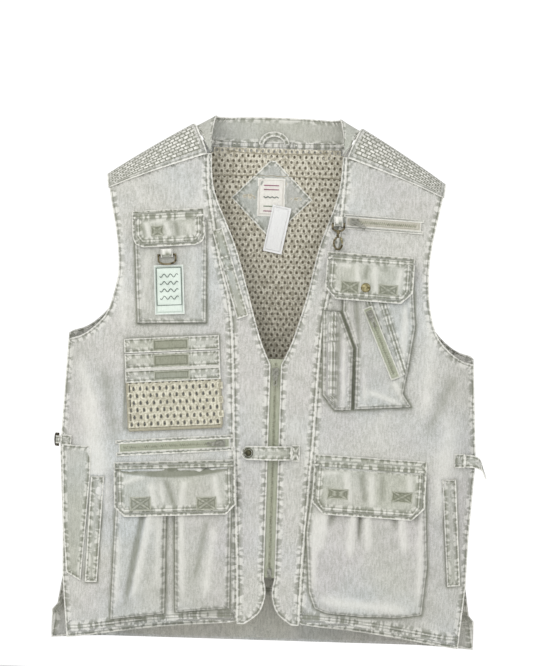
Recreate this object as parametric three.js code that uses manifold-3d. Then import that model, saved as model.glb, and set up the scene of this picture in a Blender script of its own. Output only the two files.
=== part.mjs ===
// Fishing vest with cargo pockets, hanging as it does on a hanger.
// Millimetres, +Z up. The vest faces -Y and +X is the wearer's left.
// The origin is the middle of the neck, at the height of the shoulder points.
// Every cloth piece is a closed layer between two distances ("lifts") from one body surface,
// so layers stack without touching when a size changes.

import * as THREE from 'three';
import { mergeVertices } from 'three/addons/utils/BufferGeometryUtils.js';
import Module from 'manifold-3d';

const wasm = await Module();
wasm.setup();

// ---------------------------------------------------------------- driving sizes

const vest = {
  halfWidth: 292, // side seam below the armhole
  depth: 38, // half the gap between front and back at the waist
  chestDepth: 26, // the same at the shoulder seam
  flatHalf: 210, // the fronts are flat to here and then turn to the side seam
  chestFrom: -250, // above this height the fronts lean back to the shoulders
  chestTo: -60,
  hemCentre: -716,
  hemDrop: 32, // the hem is this much lower at the sides
  slitHeight: 88, // side slit above the hem
};
const neck = { half: 94, z: -50, vBottom: -349, openingX: 7, edgeGap: 15 };
const shoulder = { inner: 89, innerZ: 4.4, tip: 244, slope: 0.53, curve: 0.00052, roll: 30 };
const armhole = { inner: 221, rightZ: -320, leftZ: -340, backRise: 11 };
const cloth = { panel: 2.4, trim: 1.8, quilt: 3, net: 1.2, wall: 1.6, gap: 0.3, easing: 0.9 };
const zip = {
  tapeWidth: 14,
  tape: 1.2,
  chainWidth: 4.4,
  chain: 1.4,
  sliderLength: 12,
  sliderWidth: 9,
  plate: 1.6,
  pullWidth: 5.5,
  pullLength: 19,
  play: 0.4,
};
const ringWire = 2.6;

const pocketMouth = 8.7; // how far a pocket's mouth stands off the cloth inside the front

const front = -1;
const back = 1;
const panelTop = cloth.panel + cloth.gap; // where trim on a front panel starts
const trimTop = panelTop + cloth.trim;
const flapTurn = cloth.gap; // clear strip between a header and the flap that turns under it

const colours = {
  cotton: '#c9c9c0',
  worn: '#b9bbae',
  net: '#c6c1ac',
  tape: '#c4c7b1',
  cream: '#d8d6ca',
  patch: '#969988',
  silver: '#b9bab5',
  bronze: '#6d6650',
  brass: '#8d8763',
  dark: '#33352a',
  badge: '#dfe8dd',
  label: '#e9e7e0',
  card: '#f4f4f2',
};

// ---------------------------------------------------------------- small helpers

const clamp = THREE.MathUtils.clamp;
const lerp = THREE.MathUtils.lerp;
const radians = THREE.MathUtils.degToRad;

// Straight interpolation through [place, value] pairs with falling places.
function along(pairs, place) {
  if (place >= pairs[0][0]) return pairs[0][1];
  for (let i = 1; i < pairs.length; i += 1) {
    const [from, start] = pairs[i - 1];
    const [to, end] = pairs[i];
    if (place >= to) return lerp(start, end, (from - place) / (from - to));
  }
  return pairs.at(-1)[1];
}

function curve(points, steps) {
  const spline = new THREE.SplineCurve(points.map(([x, z]) => new THREE.Vector2(x, z)));
  return spline.getPoints(steps).map((p) => [p.x, p.y]);
}

const mirrored = (points) => points.map(([x, z]) => [-x, z]);

// ---------------------------------------------------------------- body surface

const hemSide = vest.hemCentre - vest.hemDrop;
const slitTop = hemSide + vest.slitHeight;
const sideLine = [
  [-340, vest.halfWidth],
  [-480, vest.halfWidth + 7],
  [-590, vest.halfWidth],
  [slitTop, vest.halfWidth - 2],
  [hemSide, vest.halfWidth + 12],
];
const sideAt = (z) => along(sideLine, z);
const depthAt = (z) => along([[vest.chestTo, vest.chestDepth], [vest.chestFrom, vest.depth]], z);

function shoulderAt(x) {
  const out = Math.max(Math.abs(x) - shoulder.inner, 0);
  return shoulder.innerZ - shoulder.slope * out - shoulder.curve * out * out;
}

// Distance from the middle plane to the inside of the cloth.
function body(x, z) {
  const seam = sideAt(z) + 2;
  const turn = clamp((Math.abs(x) - vest.flatHalf) / (seam - vest.flatHalf), 0, 1);
  const below = clamp((shoulderAt(x) - z) / shoulder.roll, 0, 1);
  const roll = Math.sqrt(1 - (1 - below) ** 2);
  return 0.4 + depthAt(z) * (1 - turn * turn) * roll;
}

// ---------------------------------------------------------------- solids

function solid(geometry) {
  geometry.deleteAttribute('normal');
  geometry.deleteAttribute('uv');
  const merged = mergeVertices(geometry, 1e-4);
  const vertProperties = Float32Array.from(merged.attributes.position.array);
  const triVerts = Uint32Array.from(merged.index.array);
  return new wasm.Manifold(new wasm.Mesh({ numProp: 3, vertProperties, triVerts }));
}

function geometryOf(manifold) {
  const mesh = manifold.getMesh();
  const geometry = new THREE.BufferGeometry();
  geometry.setAttribute('position', new THREE.Float32BufferAttribute(mesh.vertProperties, 3));
  geometry.setIndex(Array.from(mesh.triVerts));
  return geometry;
}

// A closed solid from two grids of points that share their edges.
function shell(rows, columns, nearPoint, farPoint) {
  const positions = [];
  const index = [];
  const size = rows * columns;
  for (const point of [nearPoint, farPoint]) {
    for (let i = 0; i < rows; i += 1) {
      for (let j = 0; j < columns; j += 1) positions.push(...point(i, j));
    }
  }
  const quad = (a, b, c, d) => index.push(a, b, c, a, c, d);
  const at = (i, j) => i * columns + j;
  for (let i = 0; i + 1 < rows; i += 1) {
    for (let j = 0; j + 1 < columns; j += 1) {
      const corners = [at(i, j), at(i + 1, j), at(i + 1, j + 1), at(i, j + 1)];
      quad(...corners);
      const [a, b, c, d] = corners.map((n) => n + size);
      index.push(a, c, b, a, d, c);
    }
  }
  const rim = [];
  for (let j = 0; j + 1 < columns; j += 1) rim.push(at(0, j));
  for (let i = 0; i + 1 < rows; i += 1) rim.push(at(i, columns - 1));
  for (let j = columns - 1; j > 0; j -= 1) rim.push(at(rows - 1, j));
  for (let i = rows - 1; i > 0; i -= 1) rim.push(at(i, 0));
  rim.forEach((a, n) => {
    const b = rim[(n + 1) % rim.length];
    quad(a, b, b + size, a + size);
  });
  const geometry = new THREE.BufferGeometry();
  geometry.setAttribute('position', new THREE.Float32BufferAttribute(positions, 3));
  geometry.setIndex(index);
  return facingOut(geometry);
}

// Turns the triangles over if the volume they enclose comes out negative.
function facingOut(geometry) {
  const place = geometry.attributes.position;
  const index = geometry.index.array;
  const [a, b, c] = [new THREE.Vector3(), new THREE.Vector3(), new THREE.Vector3()];
  let volume = 0;
  for (let i = 0; i < index.length; i += 3) {
    a.fromBufferAttribute(place, index[i]);
    b.fromBufferAttribute(place, index[i + 1]);
    c.fromBufferAttribute(place, index[i + 2]);
    volume += a.dot(b.cross(c));
  }
  if (volume < 0) index.reverse();
  return geometry;
}

// All layers use the same grid, so stacked layers have parallel facets.
const turnSteps = [0.25, 0.5, 0.7, 0.85, 1].map((k) => lerp(vest.flatHalf, vest.halfWidth + 16, k));
const gridX = [0, 60, 105, 140, 175, vest.flatHalf, ...turnSteps];
const gridXs = [...gridX.slice(1).map((x) => -x).reverse(), ...gridX];
const gridZs = [
  hemSide - 25, hemSide, slitTop, -590, -540, -480, -410, -340, -300, vest.chestFrom,
  -200, -150, -125, -110, -95, -80, vest.chestTo, -45, -30, -15, 0, 15,
];

function prism(points) {
  const shape = new THREE.Shape(points.map(([x, z]) => new THREE.Vector2(x, z)));
  const geometry = new THREE.ExtrudeGeometry(shape, { depth: 600, bevelEnabled: false });
  return solid(geometry.rotateX(Math.PI / 2).translate(0, 300, 0));
}

// A layer of cloth within an outline: from one lift to another, each a number or a function.
function layer(points, side, from, to) {
  const reach = (axis) => points.map((p) => p[axis]);
  const inside = (lines, values) => lines.filter((line, n) => {
    const low = lines[n + 1] ?? Infinity;
    const high = lines[n - 1] ?? -Infinity;
    return low > Math.min(...values) && high < Math.max(...values);
  });
  const xs = inside(gridXs, reach(0));
  const zs = inside(gridZs, reach(1));
  const lift = (value, x, z) => (typeof value === 'function' ? value(x, z) : value);
  const point = (value) => (i, j) => {
    const [x, z] = [xs[i], zs[j]];
    return [x, side * (body(x, z) + lift(value, x, z)), z];
  };
  return solid(shell(xs.length, zs.length, point(from), point(to))).intersect(prism(points));
}

// A pocket: walls standing off the cloth, open at its mouth and against the cloth.
function pocket(points, inset, side, from, depth) {
  const outer = layer(points, side, from, depth);
  const hollow = layer(inset, side, from - 2, (x, z) => depth(x, z) - cloth.wall);
  return outer.subtract(hollow);
}

// A strip between two offsets of a curved surface given by two parameters from 0 to 1.
function strip(surface, uSteps, vSteps, from, to) {
  const nudge = 1e-3;
  const point = (offset) => (i, j) => {
    const [u, v] = [i / uSteps, j / vSteps];
    const [a, b] = [Math.min(u, 1 - nudge), Math.min(v, 1 - nudge)];
    const origin = surface(a, b);
    const across = surface(a + nudge, b).sub(origin);
    const normal = surface(a, b + nudge).sub(origin).cross(across).normalize();
    return surface(u, v).addScaledVector(normal, offset).toArray();
  };
  return shell(uSteps + 1, vSteps + 1, point(from), point(to));
}

function slab(points, from, to) {
  const shape = new THREE.Shape(points.map(([x, z]) => new THREE.Vector2(x, z)));
  const geometry = new THREE.ExtrudeGeometry(shape, { depth: to - from, bevelEnabled: false });
  return solid(geometry.rotateX(Math.PI / 2).translate(0, -from, 0));
}

function block(low, high) {
  const size = high.map((value, n) => value - low[n]);
  const centre = high.map((value, n) => (value + low[n]) / 2);
  return solid(new THREE.BoxGeometry(...size).translate(...centre));
}

function rod(radius, length, sides = 16) {
  return new THREE.CylinderGeometry(radius, radius, length, sides);
}

// ---------------------------------------------------------------- placing on cloth

const model = new THREE.Group();

function add(name, shape, colour, { parent = model, metalness = 0, roughness = 0.9 } = {}) {
  const geometry = shape.getMesh ? geometryOf(shape) : shape;
  const material = new THREE.MeshStandardMaterial({ color: colour, metalness, roughness });
  const mesh = new THREE.Mesh(geometry, material);
  mesh.name = name;
  parent.add(mesh);
  return mesh;
}

const metal = { metalness: 1, roughness: 0.4 };

// A place on the cloth with its own turned axes, for outlines drawn as [across, up].
function spot(x, z, degrees) {
  const [cos, sin] = [Math.cos(radians(degrees)), Math.sin(radians(degrees))];
  return {
    x,
    z,
    degrees,
    points: (outline) => outline.map(([u, v]) => [x + u * cos - v * sin, z + u * sin + v * cos]),
    up: (px, pz) => (pz - z) * cos - (px - x) * sin,
  };
}

// A group whose axes lie on a surface of the given lift: X across, Z up, -Y away from the cloth.
function onCloth(place, u, v, side, lift, turn = 0) {
  const [[x, z]] = place.points([[u, v]]);
  const surface = (px, pz) => side * (body(px, pz) + lift(px, pz));
  const angle = radians(place.degrees + turn);
  const ahead = (a) => {
    const [dx, dz] = [Math.cos(a), Math.sin(a)];
    return new THREE.Vector3(dx, surface(x + dx, z + dz) - surface(x, z), dz).normalize();
  };
  const across = ahead(angle);
  const inward = new THREE.Vector3().crossVectors(ahead(angle + Math.PI / 2), across).normalize();
  const up = new THREE.Vector3().crossVectors(across, inward);
  const group = new THREE.Group();
  group.quaternion.setFromRotationMatrix(new THREE.Matrix4().makeBasis(across, inward, up));
  group.position.set(x, surface(x, z), z);
  model.add(group);
  return group;
}

const rectangle = (left, right, bottom, top) => [
  [left, bottom],
  [right, bottom],
  [right, top],
  [left, top],
];

const steady = (value) => () => value;

// ---------------------------------------------------------------- outlines of the body

const lean = (z) => along([[-100, 0], [vest.chestFrom, neck.openingX]], z);
const edgeHalf = neck.edgeGap / 2;

// Half widths of the neck opening and of the seam that joins band and panel.
const vLine = [
  [neck.z, neck.half],
  [-105, 88],
  [-180, 60],
  [vest.chestFrom, 41.5],
  [-313, 23],
  [neck.vBottom, edgeHalf],
];
const seamLine = [
  [neck.z, neck.half + 5],
  [-105, 96],
  [-203, 82],
  [-290, 65],
  [-460, 56],
  [-640, 46],
  [vest.hemCentre, 44],
];

function hemAt(x, drop = vest.hemDrop) {
  const out = clamp((Math.abs(x) - 50) / (vest.halfWidth - 62), 0, 1);
  return vest.hemCentre - 3 - (drop - 3) * out ** 1.6;
}

const yokeSeam = (x) => {
  const out = Math.abs(x) - neck.half - 3;
  return neck.z - 0.33 * out - 0.00028 * out * out;
};
const tuck = 6; // cloth that runs on under the yoke
const cornerRadius = 26; // round lower corner of the front edges

function armholeEdge(z, rise) {
  const out = vest.halfWidth;
  const tip = shoulder.tip - 4;
  return curve([
    [tip, yokeSeam(tip) + tuck],
    [lerp(tip, armhole.inner, 0.35), -130],
    [armhole.inner + 4, -172],
    [armhole.inner, -215],
    [armhole.inner + 3, z + 78 + rise / 2],
    [out - 56, z + 38 + rise],
    [out - 34, z + 14 + rise],
    [out - 15, z + 3 + rise],
    [out, z + rise],
  ], 22);
}

const armpitOf = (side) => (side < 0 ? armhole.rightZ : armhole.leftZ);
const seamGap = 0.15;

// Points from the neck to the hem along a line of half widths, on the wearer's left.
function lineDown(line, shift, bottom) {
  const steps = curve(line.map(([z, half]) => [half, z]), 24);
  const above = steps.filter(([, z]) => z > bottom);
  return above.map(([half, z]) => [half + shift, z]);
}

function frontPanel(side) {
  const sign = (points) => (side < 0 ? mirrored(points) : points);
  const seam = lineDown(seamLine, seamGap, hemAt(60)).map(([x, z]) => [x + side * lean(z), z]);
  const corner = vest.halfWidth - 12;
  const hem = [0.05, 0.3, 0.55, 0.8, 1].map((k) => {
    const x = lerp(60, corner, k);
    return [x, hemAt(x)];
  });
  const edge = sideLine.slice(0, -1).reverse().map(([z, x]) => [x, z]);
  const arm = armholeEdge(armpitOf(side), 0).reverse();
  const top = [200, 160, 125].map((x) => [x, yokeSeam(x) + tuck]);
  return sign([...seam, ...hem, ...edge.slice(0, -1), ...arm, ...top]);
}

function frontBand(side) {
  const sign = (points) => (side < 0 ? mirrored(points) : points);
  const shifted = (points) => points.map(([x, z]) => [x + side * lean(z), z]);
  const edge = shifted(lineDown(vLine, 0, neck.vBottom - 1));
  const bottom = vest.hemCentre;
  const straight = bottom + 62;
  const [start, end] = [edgeHalf, edgeHalf + cornerRadius];
  const corner = curve([
    [start, straight],
    [start - 3, straight - 22],
    [start + 5, bottom + 14],
    [end, bottom - 3],
  ], 8);
  const seam = lineDown(seamLine, -seamGap, hemAt(50) + 2).reverse();
  const hem = [[44, hemAt(50)]];
  return sign([...edge, ...shifted([...corner, ...hem]), ...shifted(seam)]);
}

// ---------------------------------------------------------------- fronts and back

const tabPlace = spot(neck.openingX, -474.5, 1);
const tab = {
  height: 20,
  anchor: [26, 38],
  tip: -45,
  snap: -35,
  arch: 7.5,
  seat: 3.4,
  stud: 5.5,
  flatFrom: 0.74,
};

// The sewn end of the front tab, and the stud that its other end snaps onto, stand on the bands.
function tabAnchor() {
  const half = tab.height / 2 + 1.5;
  const patch = tabPlace.points(rectangle(tab.anchor[0] + 0.5, tab.anchor[1], -half, half));
  return layer(patch, front, cloth.panel / 2, trimTop);
}
function tabStud() {
  const ring = new THREE.EllipseCurve(tab.snap, 0, tab.stud, tab.stud).getPoints(20).slice(0, -1);
  const outline = tabPlace.points(ring.map((p) => [p.x, p.y]));
  return layer(outline, front, cloth.panel / 2, panelTop + tab.seat - cloth.gap);
}

// A cloth loop holding the straight bar of a ring. The bar lies along the local X axis.
const barHole = ringWire / 2 + 0.8;
const loopRim = barHole + cloth.trim;
function ringLoop(width, tail) {
  const lying = (radius, length) => solid(rod(radius, length, 20).rotateZ(Math.PI / 2));
  const eye = lying(loopRim, width).translate([0, -loopRim, 0]);
  const leaf = block([-width / 2, -2 * loopRim, 0], [width / 2, 0, tail]);
  return eye.add(leaf).subtract(lying(barHole, width + 4).translate([0, -loopRim, 0]));
}

// Waist straps: the left one hangs from a sewn patch, the right one ends in a ring at the side.
const strap = { from: vest.halfWidth - 25, to: vest.halfWidth - 10, z: -478.5, width: 18 };
const waistRing = { z: -466.5, loop: 11, play: 1.4, drop: 14, lift: 2.9 };
waistRing.x = -sideAt(waistRing.z) - loopRim - cloth.gap;

function strapPatch() {
  const half = strap.width / 2 + 1;
  const outline = rectangle(strap.from, strap.to, strap.z - half, strap.z + half);
  return layer(outline, front, cloth.panel / 2, trimTop);
}
function waistLoop() {
  const half = waistRing.loop / 2;
  const leaf = rectangle(waistRing.x + 2, waistRing.x + 20, waistRing.z - half, waistRing.z + half);
  const upright = (radius) => solid(rod(radius, waistRing.loop, 20).rotateX(Math.PI / 2));
  const ring = upright(loopRim).subtract(upright(barHole));
  const bar = upright(barHole).translate([waistRing.x, -waistRing.lift, waistRing.z]);
  const loop = ring.translate([waistRing.x, -waistRing.lift, waistRing.z]);
  return loop.add(layer(leaf, front, cloth.panel / 2, trimTop).subtract(bar));
}

for (const [side, word] of [[-1, 'right'], [1, 'left']]) {
  const panel = layer(frontPanel(side), front, 0, cloth.panel);
  add(`${word}_front_panel`, panel.add(side < 0 ? waistLoop() : strapPatch()), colours.cotton);
  const band = layer(frontBand(side), front, 0, cloth.panel);
  add(`${word}_front_band`, band.add(side < 0 ? tabStud() : tabAnchor()), colours.cotton);
}

const liningTo = cloth.net;
const backFrom = liningTo + cloth.gap;
const collarTop = 9;
const collarHeight = 40; // at the middle of the back
const collarBase = collarTop - collarHeight;
const backTo = backFrom + cloth.panel;

function backEdge(side) {
  const edge = sideLine.slice(0, -1).map(([z, x]) => [x, z]);
  edge[0][1] = armpitOf(side) + armhole.backRise;
  return edge;
}

function backOutline(bottom) {
  const half = (side) => {
    const arm = armholeEdge(armpitOf(side), armhole.backRise);
    const corner = vest.halfWidth + 12;
    const hem = [1, 0.75, 0.5, 0.25].map((k) => [k * corner, hemAt(k * corner) - 4]);
    const points = [[92, collarBase + 1], [108, collarBase + 5], [118, yokeSeam(118) + 14]];
    points.push([140, yokeSeam(140) + tuck], [170, yokeSeam(170) + tuck]);
    points.push([200, yokeSeam(200) + tuck], ...arm, ...backEdge(side).slice(1), ...hem);
    return points.map(([x, z]) => [side * x, z]);
  };
  const neckLine = [[0, collarBase - 0.6], [56, collarBase - 0.6]];
  const bottomCentre = [0, hemAt(0) - 4];
  const whole = [...neckLine, ...half(1), bottomCentre, ...half(-1).reverse(), mirrored(neckLine)[1]];
  return prism(whole).intersect(block([-400, -300, bottom], [400, 300, 0]));
}

function backLayer(from, to, bottom) {
  const sheet = layer(rectangle(-330, 330, hemSide - 20, 0), back, from, to);
  return sheet.intersect(backOutline(bottom));
}

add('back_panel', backLayer(backFrom, backTo, hemSide - 20), colours.cotton);
add('back_lining', backLayer(0, liningTo, hemSide + 50), colours.net);

// The rear pouch runs from seam to seam and turns onto the front on the wearer's right.
const pouch = { top: -473, bottom: -667, depth: 13, half: vest.halfWidth - 12 };
{
  const from = backTo + cloth.gap;
  const body = rectangle(-pouch.half, pouch.half, pouch.bottom, pouch.top);
  const inner = rectangle(2 - pouch.half, pouch.half - 2, pouch.bottom + 2, pouch.top + 30);
  const depth = () => from + pouch.depth;
  add('rear_pouch', pocket(body, inner, back, from, depth), colours.worn);
}
const patchEdge = [
  [-vest.halfWidth - 4, pouch.top],
  [-253, pouch.top],
  [-252.5, -515],
  [-262, pouch.bottom + 1],
  [-vest.halfWidth + 8, slitTop + 4],
  [-vest.halfWidth + 1, -590],
];
add('right_side_patch', layer(patchEdge, front, panelTop, trimTop), colours.worn);

// ---------------------------------------------------------------- yokes and collar

function yoke(side) {
  const surface = (u, v) => {
    const across = 2 * v - 1;
    const low = Math.abs(across);
    const inner = lerp(shoulder.inner + 34, neck.half + 6, low);
    const x = lerp(inner, lerp(shoulder.tip, shoulder.tip - 4, low), u);
    const top = shoulderAt(x);
    const z = lerp(top, yokeSeam(x), low ** 1.6);
    return new THREE.Vector3(side * x, Math.sign(across) * (body(x, z) - 0.4), z);
  };
  const from = -side * (backTo + cloth.easing);
  return strip(surface, 7, 16, from, from - side * cloth.quilt);
}
add('right_yoke', yoke(-1), colours.worn);
add('left_yoke', yoke(1), colours.worn);

function collarCurve(points) {
  const right = points.map(([x, y, z]) => new THREE.Vector3(-x, y, z));
  const left = points.slice(0, -1).reverse().map(([x, y, z]) => new THREE.Vector3(x, y, z));
  return new THREE.CatmullRomCurve3([...right, ...left]);
}
const neckDepth = body(0, neck.z) + 2;
const collarLower = collarCurve([
  [neck.half + 2, -neckDepth, neck.z + 1.5],
  [neck.half + 10, -neckDepth + 1, neck.z + 16],
  [shoulder.inner + 22, -neckDepth + 8, neck.z + 29],
  [shoulder.inner + 30.5, 0, neck.z + 37.5],
  [shoulder.inner + 22, neckDepth - 8, neck.z + 29],
  [shoulder.inner + 7, neckDepth - 1, collarBase + 3],
  [56, neckDepth, collarBase],
  [0, neckDepth, collarBase],
]);
const collarUpper = collarCurve([
  [neck.half, -neckDepth, neck.z + 4],
  [neck.half + 1, -neckDepth + 2, neck.z + 17],
  [neck.half - 1, -neckDepth + 9, neck.z + 35],
  [shoulder.inner, -2, shoulder.innerZ],
  [shoulder.inner - 3, 11, shoulder.innerZ + 0.5],
  [shoulder.inner - 14, neckDepth - 6, collarTop - 3],
  [48, neckDepth - 1.5, collarTop - 1],
  [0, neckDepth - 1, collarTop],
]);
const collarSurface = (u, v) => collarLower.getPoint(u).lerp(collarUpper.getPoint(u), v);
add('collar', strip(collarSurface, 30, 2, 0, cloth.panel), colours.cotton);

// The strap that the vest is hung up by, sewn inside the back of the neck.
const loop = { x: -5, z: -31, half: 22, height: 19, width: 7, thick: 2.6 };
{
  const arc = (rx, rz, from, to) => Array.from({ length: 13 }, (_, n) => {
    const a = lerp(from, to, n / 12);
    return [rx * Math.cos(a), rz * Math.sin(a)];
  });
  const outside = arc(loop.half, loop.height, 0, Math.PI);
  const inside = arc(loop.half - loop.width, loop.height - loop.width, Math.PI, 0);
  const strap = geometryOf(slab([...outside, ...inside], 0, loop.thick));
  const place = new THREE.Group();
  place.position.set(loop.x, neckDepth - 4, loop.z);
  place.add(add('hanger_loop', strap, colours.cotton));
  model.add(place);
}

// ---------------------------------------------------------------- neck patch, label and tag

const inside = { patch: -0.3, label: -1.6, tag: -3 };
const diamond = spot(-6, -110, 0);
const diamondEdge = [[-59, 1], [0, -58], [59, 1], [4, 56], [-4, 56]];
const patchLayer = layer(diamond.points(diamondEdge), back, inside.patch - 1, inside.patch);
add('neck_patch', patchLayer, colours.cotton);
const labelEdge = spot(-7, -107, 0).points(rectangle(-20, 20, -27.5, 27.5));
add('neck_label', layer(labelEdge, back, inside.label - 0.8, inside.label), colours.label);
{
  const place = onCloth(spot(2.5, -124, 0), 0, 0, back, steady(inside.tag - 0.8));
  const card = rectangle(-7.8, 19.7, -63, 5.4).map(([u, v]) => {
    const a = radians(-10.5);
    return [u * Math.cos(a) - v * Math.sin(a), u * Math.sin(a) + v * Math.cos(a)];
  });
  const hole = solid(rod(1.6, 20, 10));
  add('swing_tag', slab(card, 0, 0.8).subtract(hole), colours.card, { parent: place });
}

// ---------------------------------------------------------------- zips

// Half tape and chain, or a whole one, straight along the local X axis.
function zipTape(from, to, width) {
  const chainHalf = zip.chainWidth / 2;
  const tape = block([from, -zip.tape, -width / 2], [to, 0, width / 2]);
  const top = -zip.tape - zip.chain;
  return tape.add(block([from + 6, top, -chainHalf], [to - 6, -zip.tape / 2, chainHalf]));
}

// The slider straddles the chain, and its bridge carries the pull.
const bridgeTop = zip.tape + zip.chain + zip.play + zip.plate + 2;
function slider() {
  const chainTop = zip.tape + zip.chain + zip.play;
  const [end, half] = [zip.sliderLength / 2, zip.sliderWidth / 2];
  const inner = zip.chainWidth / 2 + zip.play;
  const lid = block([-end, -chainTop - zip.plate, -half], [end, -chainTop, half]);
  const skirt = (low, high) => block([-end, -chainTop - 0.5, low], [end, -zip.tape - zip.play, high]);
  const bridge = block([-end + 2, -bridgeTop, -0.9], [end - 3, -chainTop - 1, 0.9]);
  const eye = block([-end + 3.2, 0.9 - bridgeTop, -2], [end - 4.2, -chainTop - zip.plate, 2]);
  return lid.add(skirt(-half, -inner)).add(skirt(inner, half)).add(bridge.subtract(eye));
}

// The pull hangs over the slider with its eye round the bridge. It points along +X.
function pull() {
  const half = zip.pullWidth / 2;
  const low = -bridgeTop - 0.3;
  const plate = block([-4, low - 1.4, -half], [zip.pullLength, low, half]);
  const neckHole = block([zip.pullLength - 7, low - 3, -1.2], [zip.pullLength - 2, low + 2, 1.2]);
  const eye = block([-2, low - 3, -1.4], [3, low + 2, 1.4]);
  return plate.subtract(neckHole).subtract(eye);
}

function addZip(name, place, lift, sliderAt, pullTurn, colour) {
  const group = onCloth(place.spot, 0, 0, front, lift, place.turn);
  const tape = zipTape(place.from, place.to, zip.tapeWidth);
  add(`${name}_tape`, tape, colour, { parent: group });
  const carriage = new THREE.Group();
  carriage.position.set(sliderAt, 0, 0);
  group.add(carriage);
  add(`${name}_slider`, slider(), colours.silver, { parent: carriage, ...metal });
  const swing = new THREE.Group();
  swing.rotation.y = radians(pullTurn);
  carriage.add(swing);
  add(`${name}_pull`, pull(), colours.silver, { parent: swing, ...metal });
}

const waistZip = { spot: spot(-133.5, -468, 4.6), turn: 0, from: -79, to: 79 };
addZip('waist_zip', waistZip, steady(panelTop), 66, 180, colours.tape);
const chestZip = { spot: spot(154, -144, -2.5), turn: 0, from: -53, to: 54 };
addZip('chest_zip', chestZip, steady(panelTop), -42, 28, colours.cream);

// Front zip: a tape with half a chain on each front, behind the edges of the bands.
const frontZip = { top: neck.vBottom + 8, bottom: vest.hemCentre + 64, under: 13, stop: 14 };
const tapeLift = -0.4;
for (const [side, word] of [[-1, 'right'], [1, 'left']]) {
  const edges = [side * 0.2, side * (edgeHalf + frontZip.under)];
  const range = edges.sort((a, b) => a - b).map((x) => x + neck.openingX);
  const outline = rectangle(...range, frontZip.bottom, frontZip.top);
  const tape = layer(outline, front, tapeLift - zip.tape, tapeLift);
  const teeth = [side * 0.2, side * zip.chainWidth * 0.5].sort((a, b) => a - b);
  const chain = rectangle(...teeth.map((x) => x + neck.openingX),
    frontZip.bottom + frontZip.stop, frontZip.top - 4);
  const ridge = layer(chain, front, tapeLift - 0.6, tapeLift + zip.chain);
  add(`front_zip_${word}_tape`, tape.add(ridge), colours.tape);
}
{
  const place = spot(neck.openingX, neck.vBottom - 10.5, -90);
  const group = onCloth(place, 0, 0, front, steady(tapeLift - zip.tape));
  add('front_zip_slider', slider(), colours.silver, { parent: group, ...metal });
  add('front_zip_pull', pull(), colours.silver, { parent: group, ...metal });
  const boxPlace = spot(neck.openingX, frontZip.bottom + frontZip.stop / 2, 0);
  const boxGroup = onCloth(boxPlace, 0, 0, front, steady(tapeLift + 0.3));
  const box = block([-3, -2.4, -6], [3, 0, 6]);
  add('front_zip_box', box, colours.silver, { parent: boxGroup, ...metal });
}

// ---------------------------------------------------------------- flaps

// A flap is flat and turns about its top edge. Its inner face clears the pocket by a gap.
function addFlap(name, place, size, depth, colour) {
  const { half, header, drop, corner, round } = size;
  const top = -header - flapTurn;
  const lower = round
    ? curve([[half, -drop + corner], [half - corner * 0.3, -drop + corner * 0.3],
      [half - corner, -drop]], 6)
    : [[half, -drop + corner], [half - corner, -drop]];
  const outline = [[half, top], ...lower, ...mirrored(lower).reverse(), [-half, top]];
  const lift = (x, z) => depth(x, z) + 2 * cloth.gap + cloth.trim;
  const hinge = onCloth(place, 0, top, front, lift);
  const moved = outline.map(([u, v]) => [u, v - top]);
  add(name, slab(moved, -cloth.trim, 0), colour, { parent: hinge });
  return hinge;
}

function addHeader(name, place, size, colour) {
  const strip = place.points(rectangle(-size.half, size.half, -size.header, 0));
  add(name, layer(strip, front, panelTop, trimTop), colour);
}

// A pocket's depth grows evenly from its mouth downwards, in the flap's own direction.
const deepening = (place, header, start, slope) => (x, z) => {
  const down = -header - place.up(x, z);
  return start + slope * down;
};

// ---------------------------------------------------------------- wearer's right chest

const rightChest = spot(-153.5, -132.5, 4.5);
const rightChestSize = { half: 51.5, header: 10, drop: 53, corner: 15, round: true };
const rightChestDepth = deepening(rightChest, 10, pocketMouth, 0.02);
addFlap('right_chest_flap', rightChest, rightChestSize, rightChestDepth, colours.worn);
{
  const edge = [[-192, -297], [-93, -293], [-97, -145.5], [-201.5, -149]];
  const inner = [[-190, -295], [-95, -291], [-99, -120], [-199.5, -120]];
  const shape = pocket(edge, inner, front, panelTop, rightChestDepth);
  add('right_chest_pocket', shape, colours.worn);
}

// The full width of a ring whose sides clear the cloth loop that holds it.
const ringWidth = (loopWidth, play) => loopWidth + 2 * (ringWire + play);

// A flat D ring: the bar lies on the local X axis and the bow hangs below it.
function dRing(width, height, thick = ringWire) {
  const bow = (w, low, high) => {
    const round = Array.from({ length: 15 }, (_, n) => {
      const a = lerp(Math.PI, 2 * Math.PI, n / 14);
      return [w * Math.cos(a), low + (high - low) * 0.45 + (high - low) * 0.45 * Math.sin(a)];
    });
    return [...round, [w, high], [-w, high]];
  };
  const half = ringWire / 2;
  const outer = slab(bow(width / 2, half - height, half), -thick / 2, thick / 2);
  const inner = bow(width / 2 - ringWire, half - height + ringWire, -half);
  return outer.subtract(slab(inner, -9, 9));
}

{
  const lift = (x, z) => rightChestDepth(x, z) + cloth.gap;
  const group = onCloth(rightChest, -4, -65.5, front, lift);
  const loopWidth = 17;
  add('ring_tab', ringLoop(loopWidth, 8), colours.worn, { parent: group });
  const ring = new THREE.Group();
  ring.position.set(0, -loopRim, 0);
  group.add(ring);
  add('d_ring', dRing(ringWidth(loopWidth, 2.4), 16), colours.bronze, { parent: ring, ...metal });
}
{
  const place = spot(-147.5, -247, 3.5);
  const base = (x, z) => rightChestDepth(x, z) + cloth.gap;
  const edge = place.points(rectangle(-21, 21, -35, 35));
  add('badge', layer(edge, front, base, (x, z) => base(x, z) + 1), colours.badge);
}

// ---------------------------------------------------------------- tool pocket, right side

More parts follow.
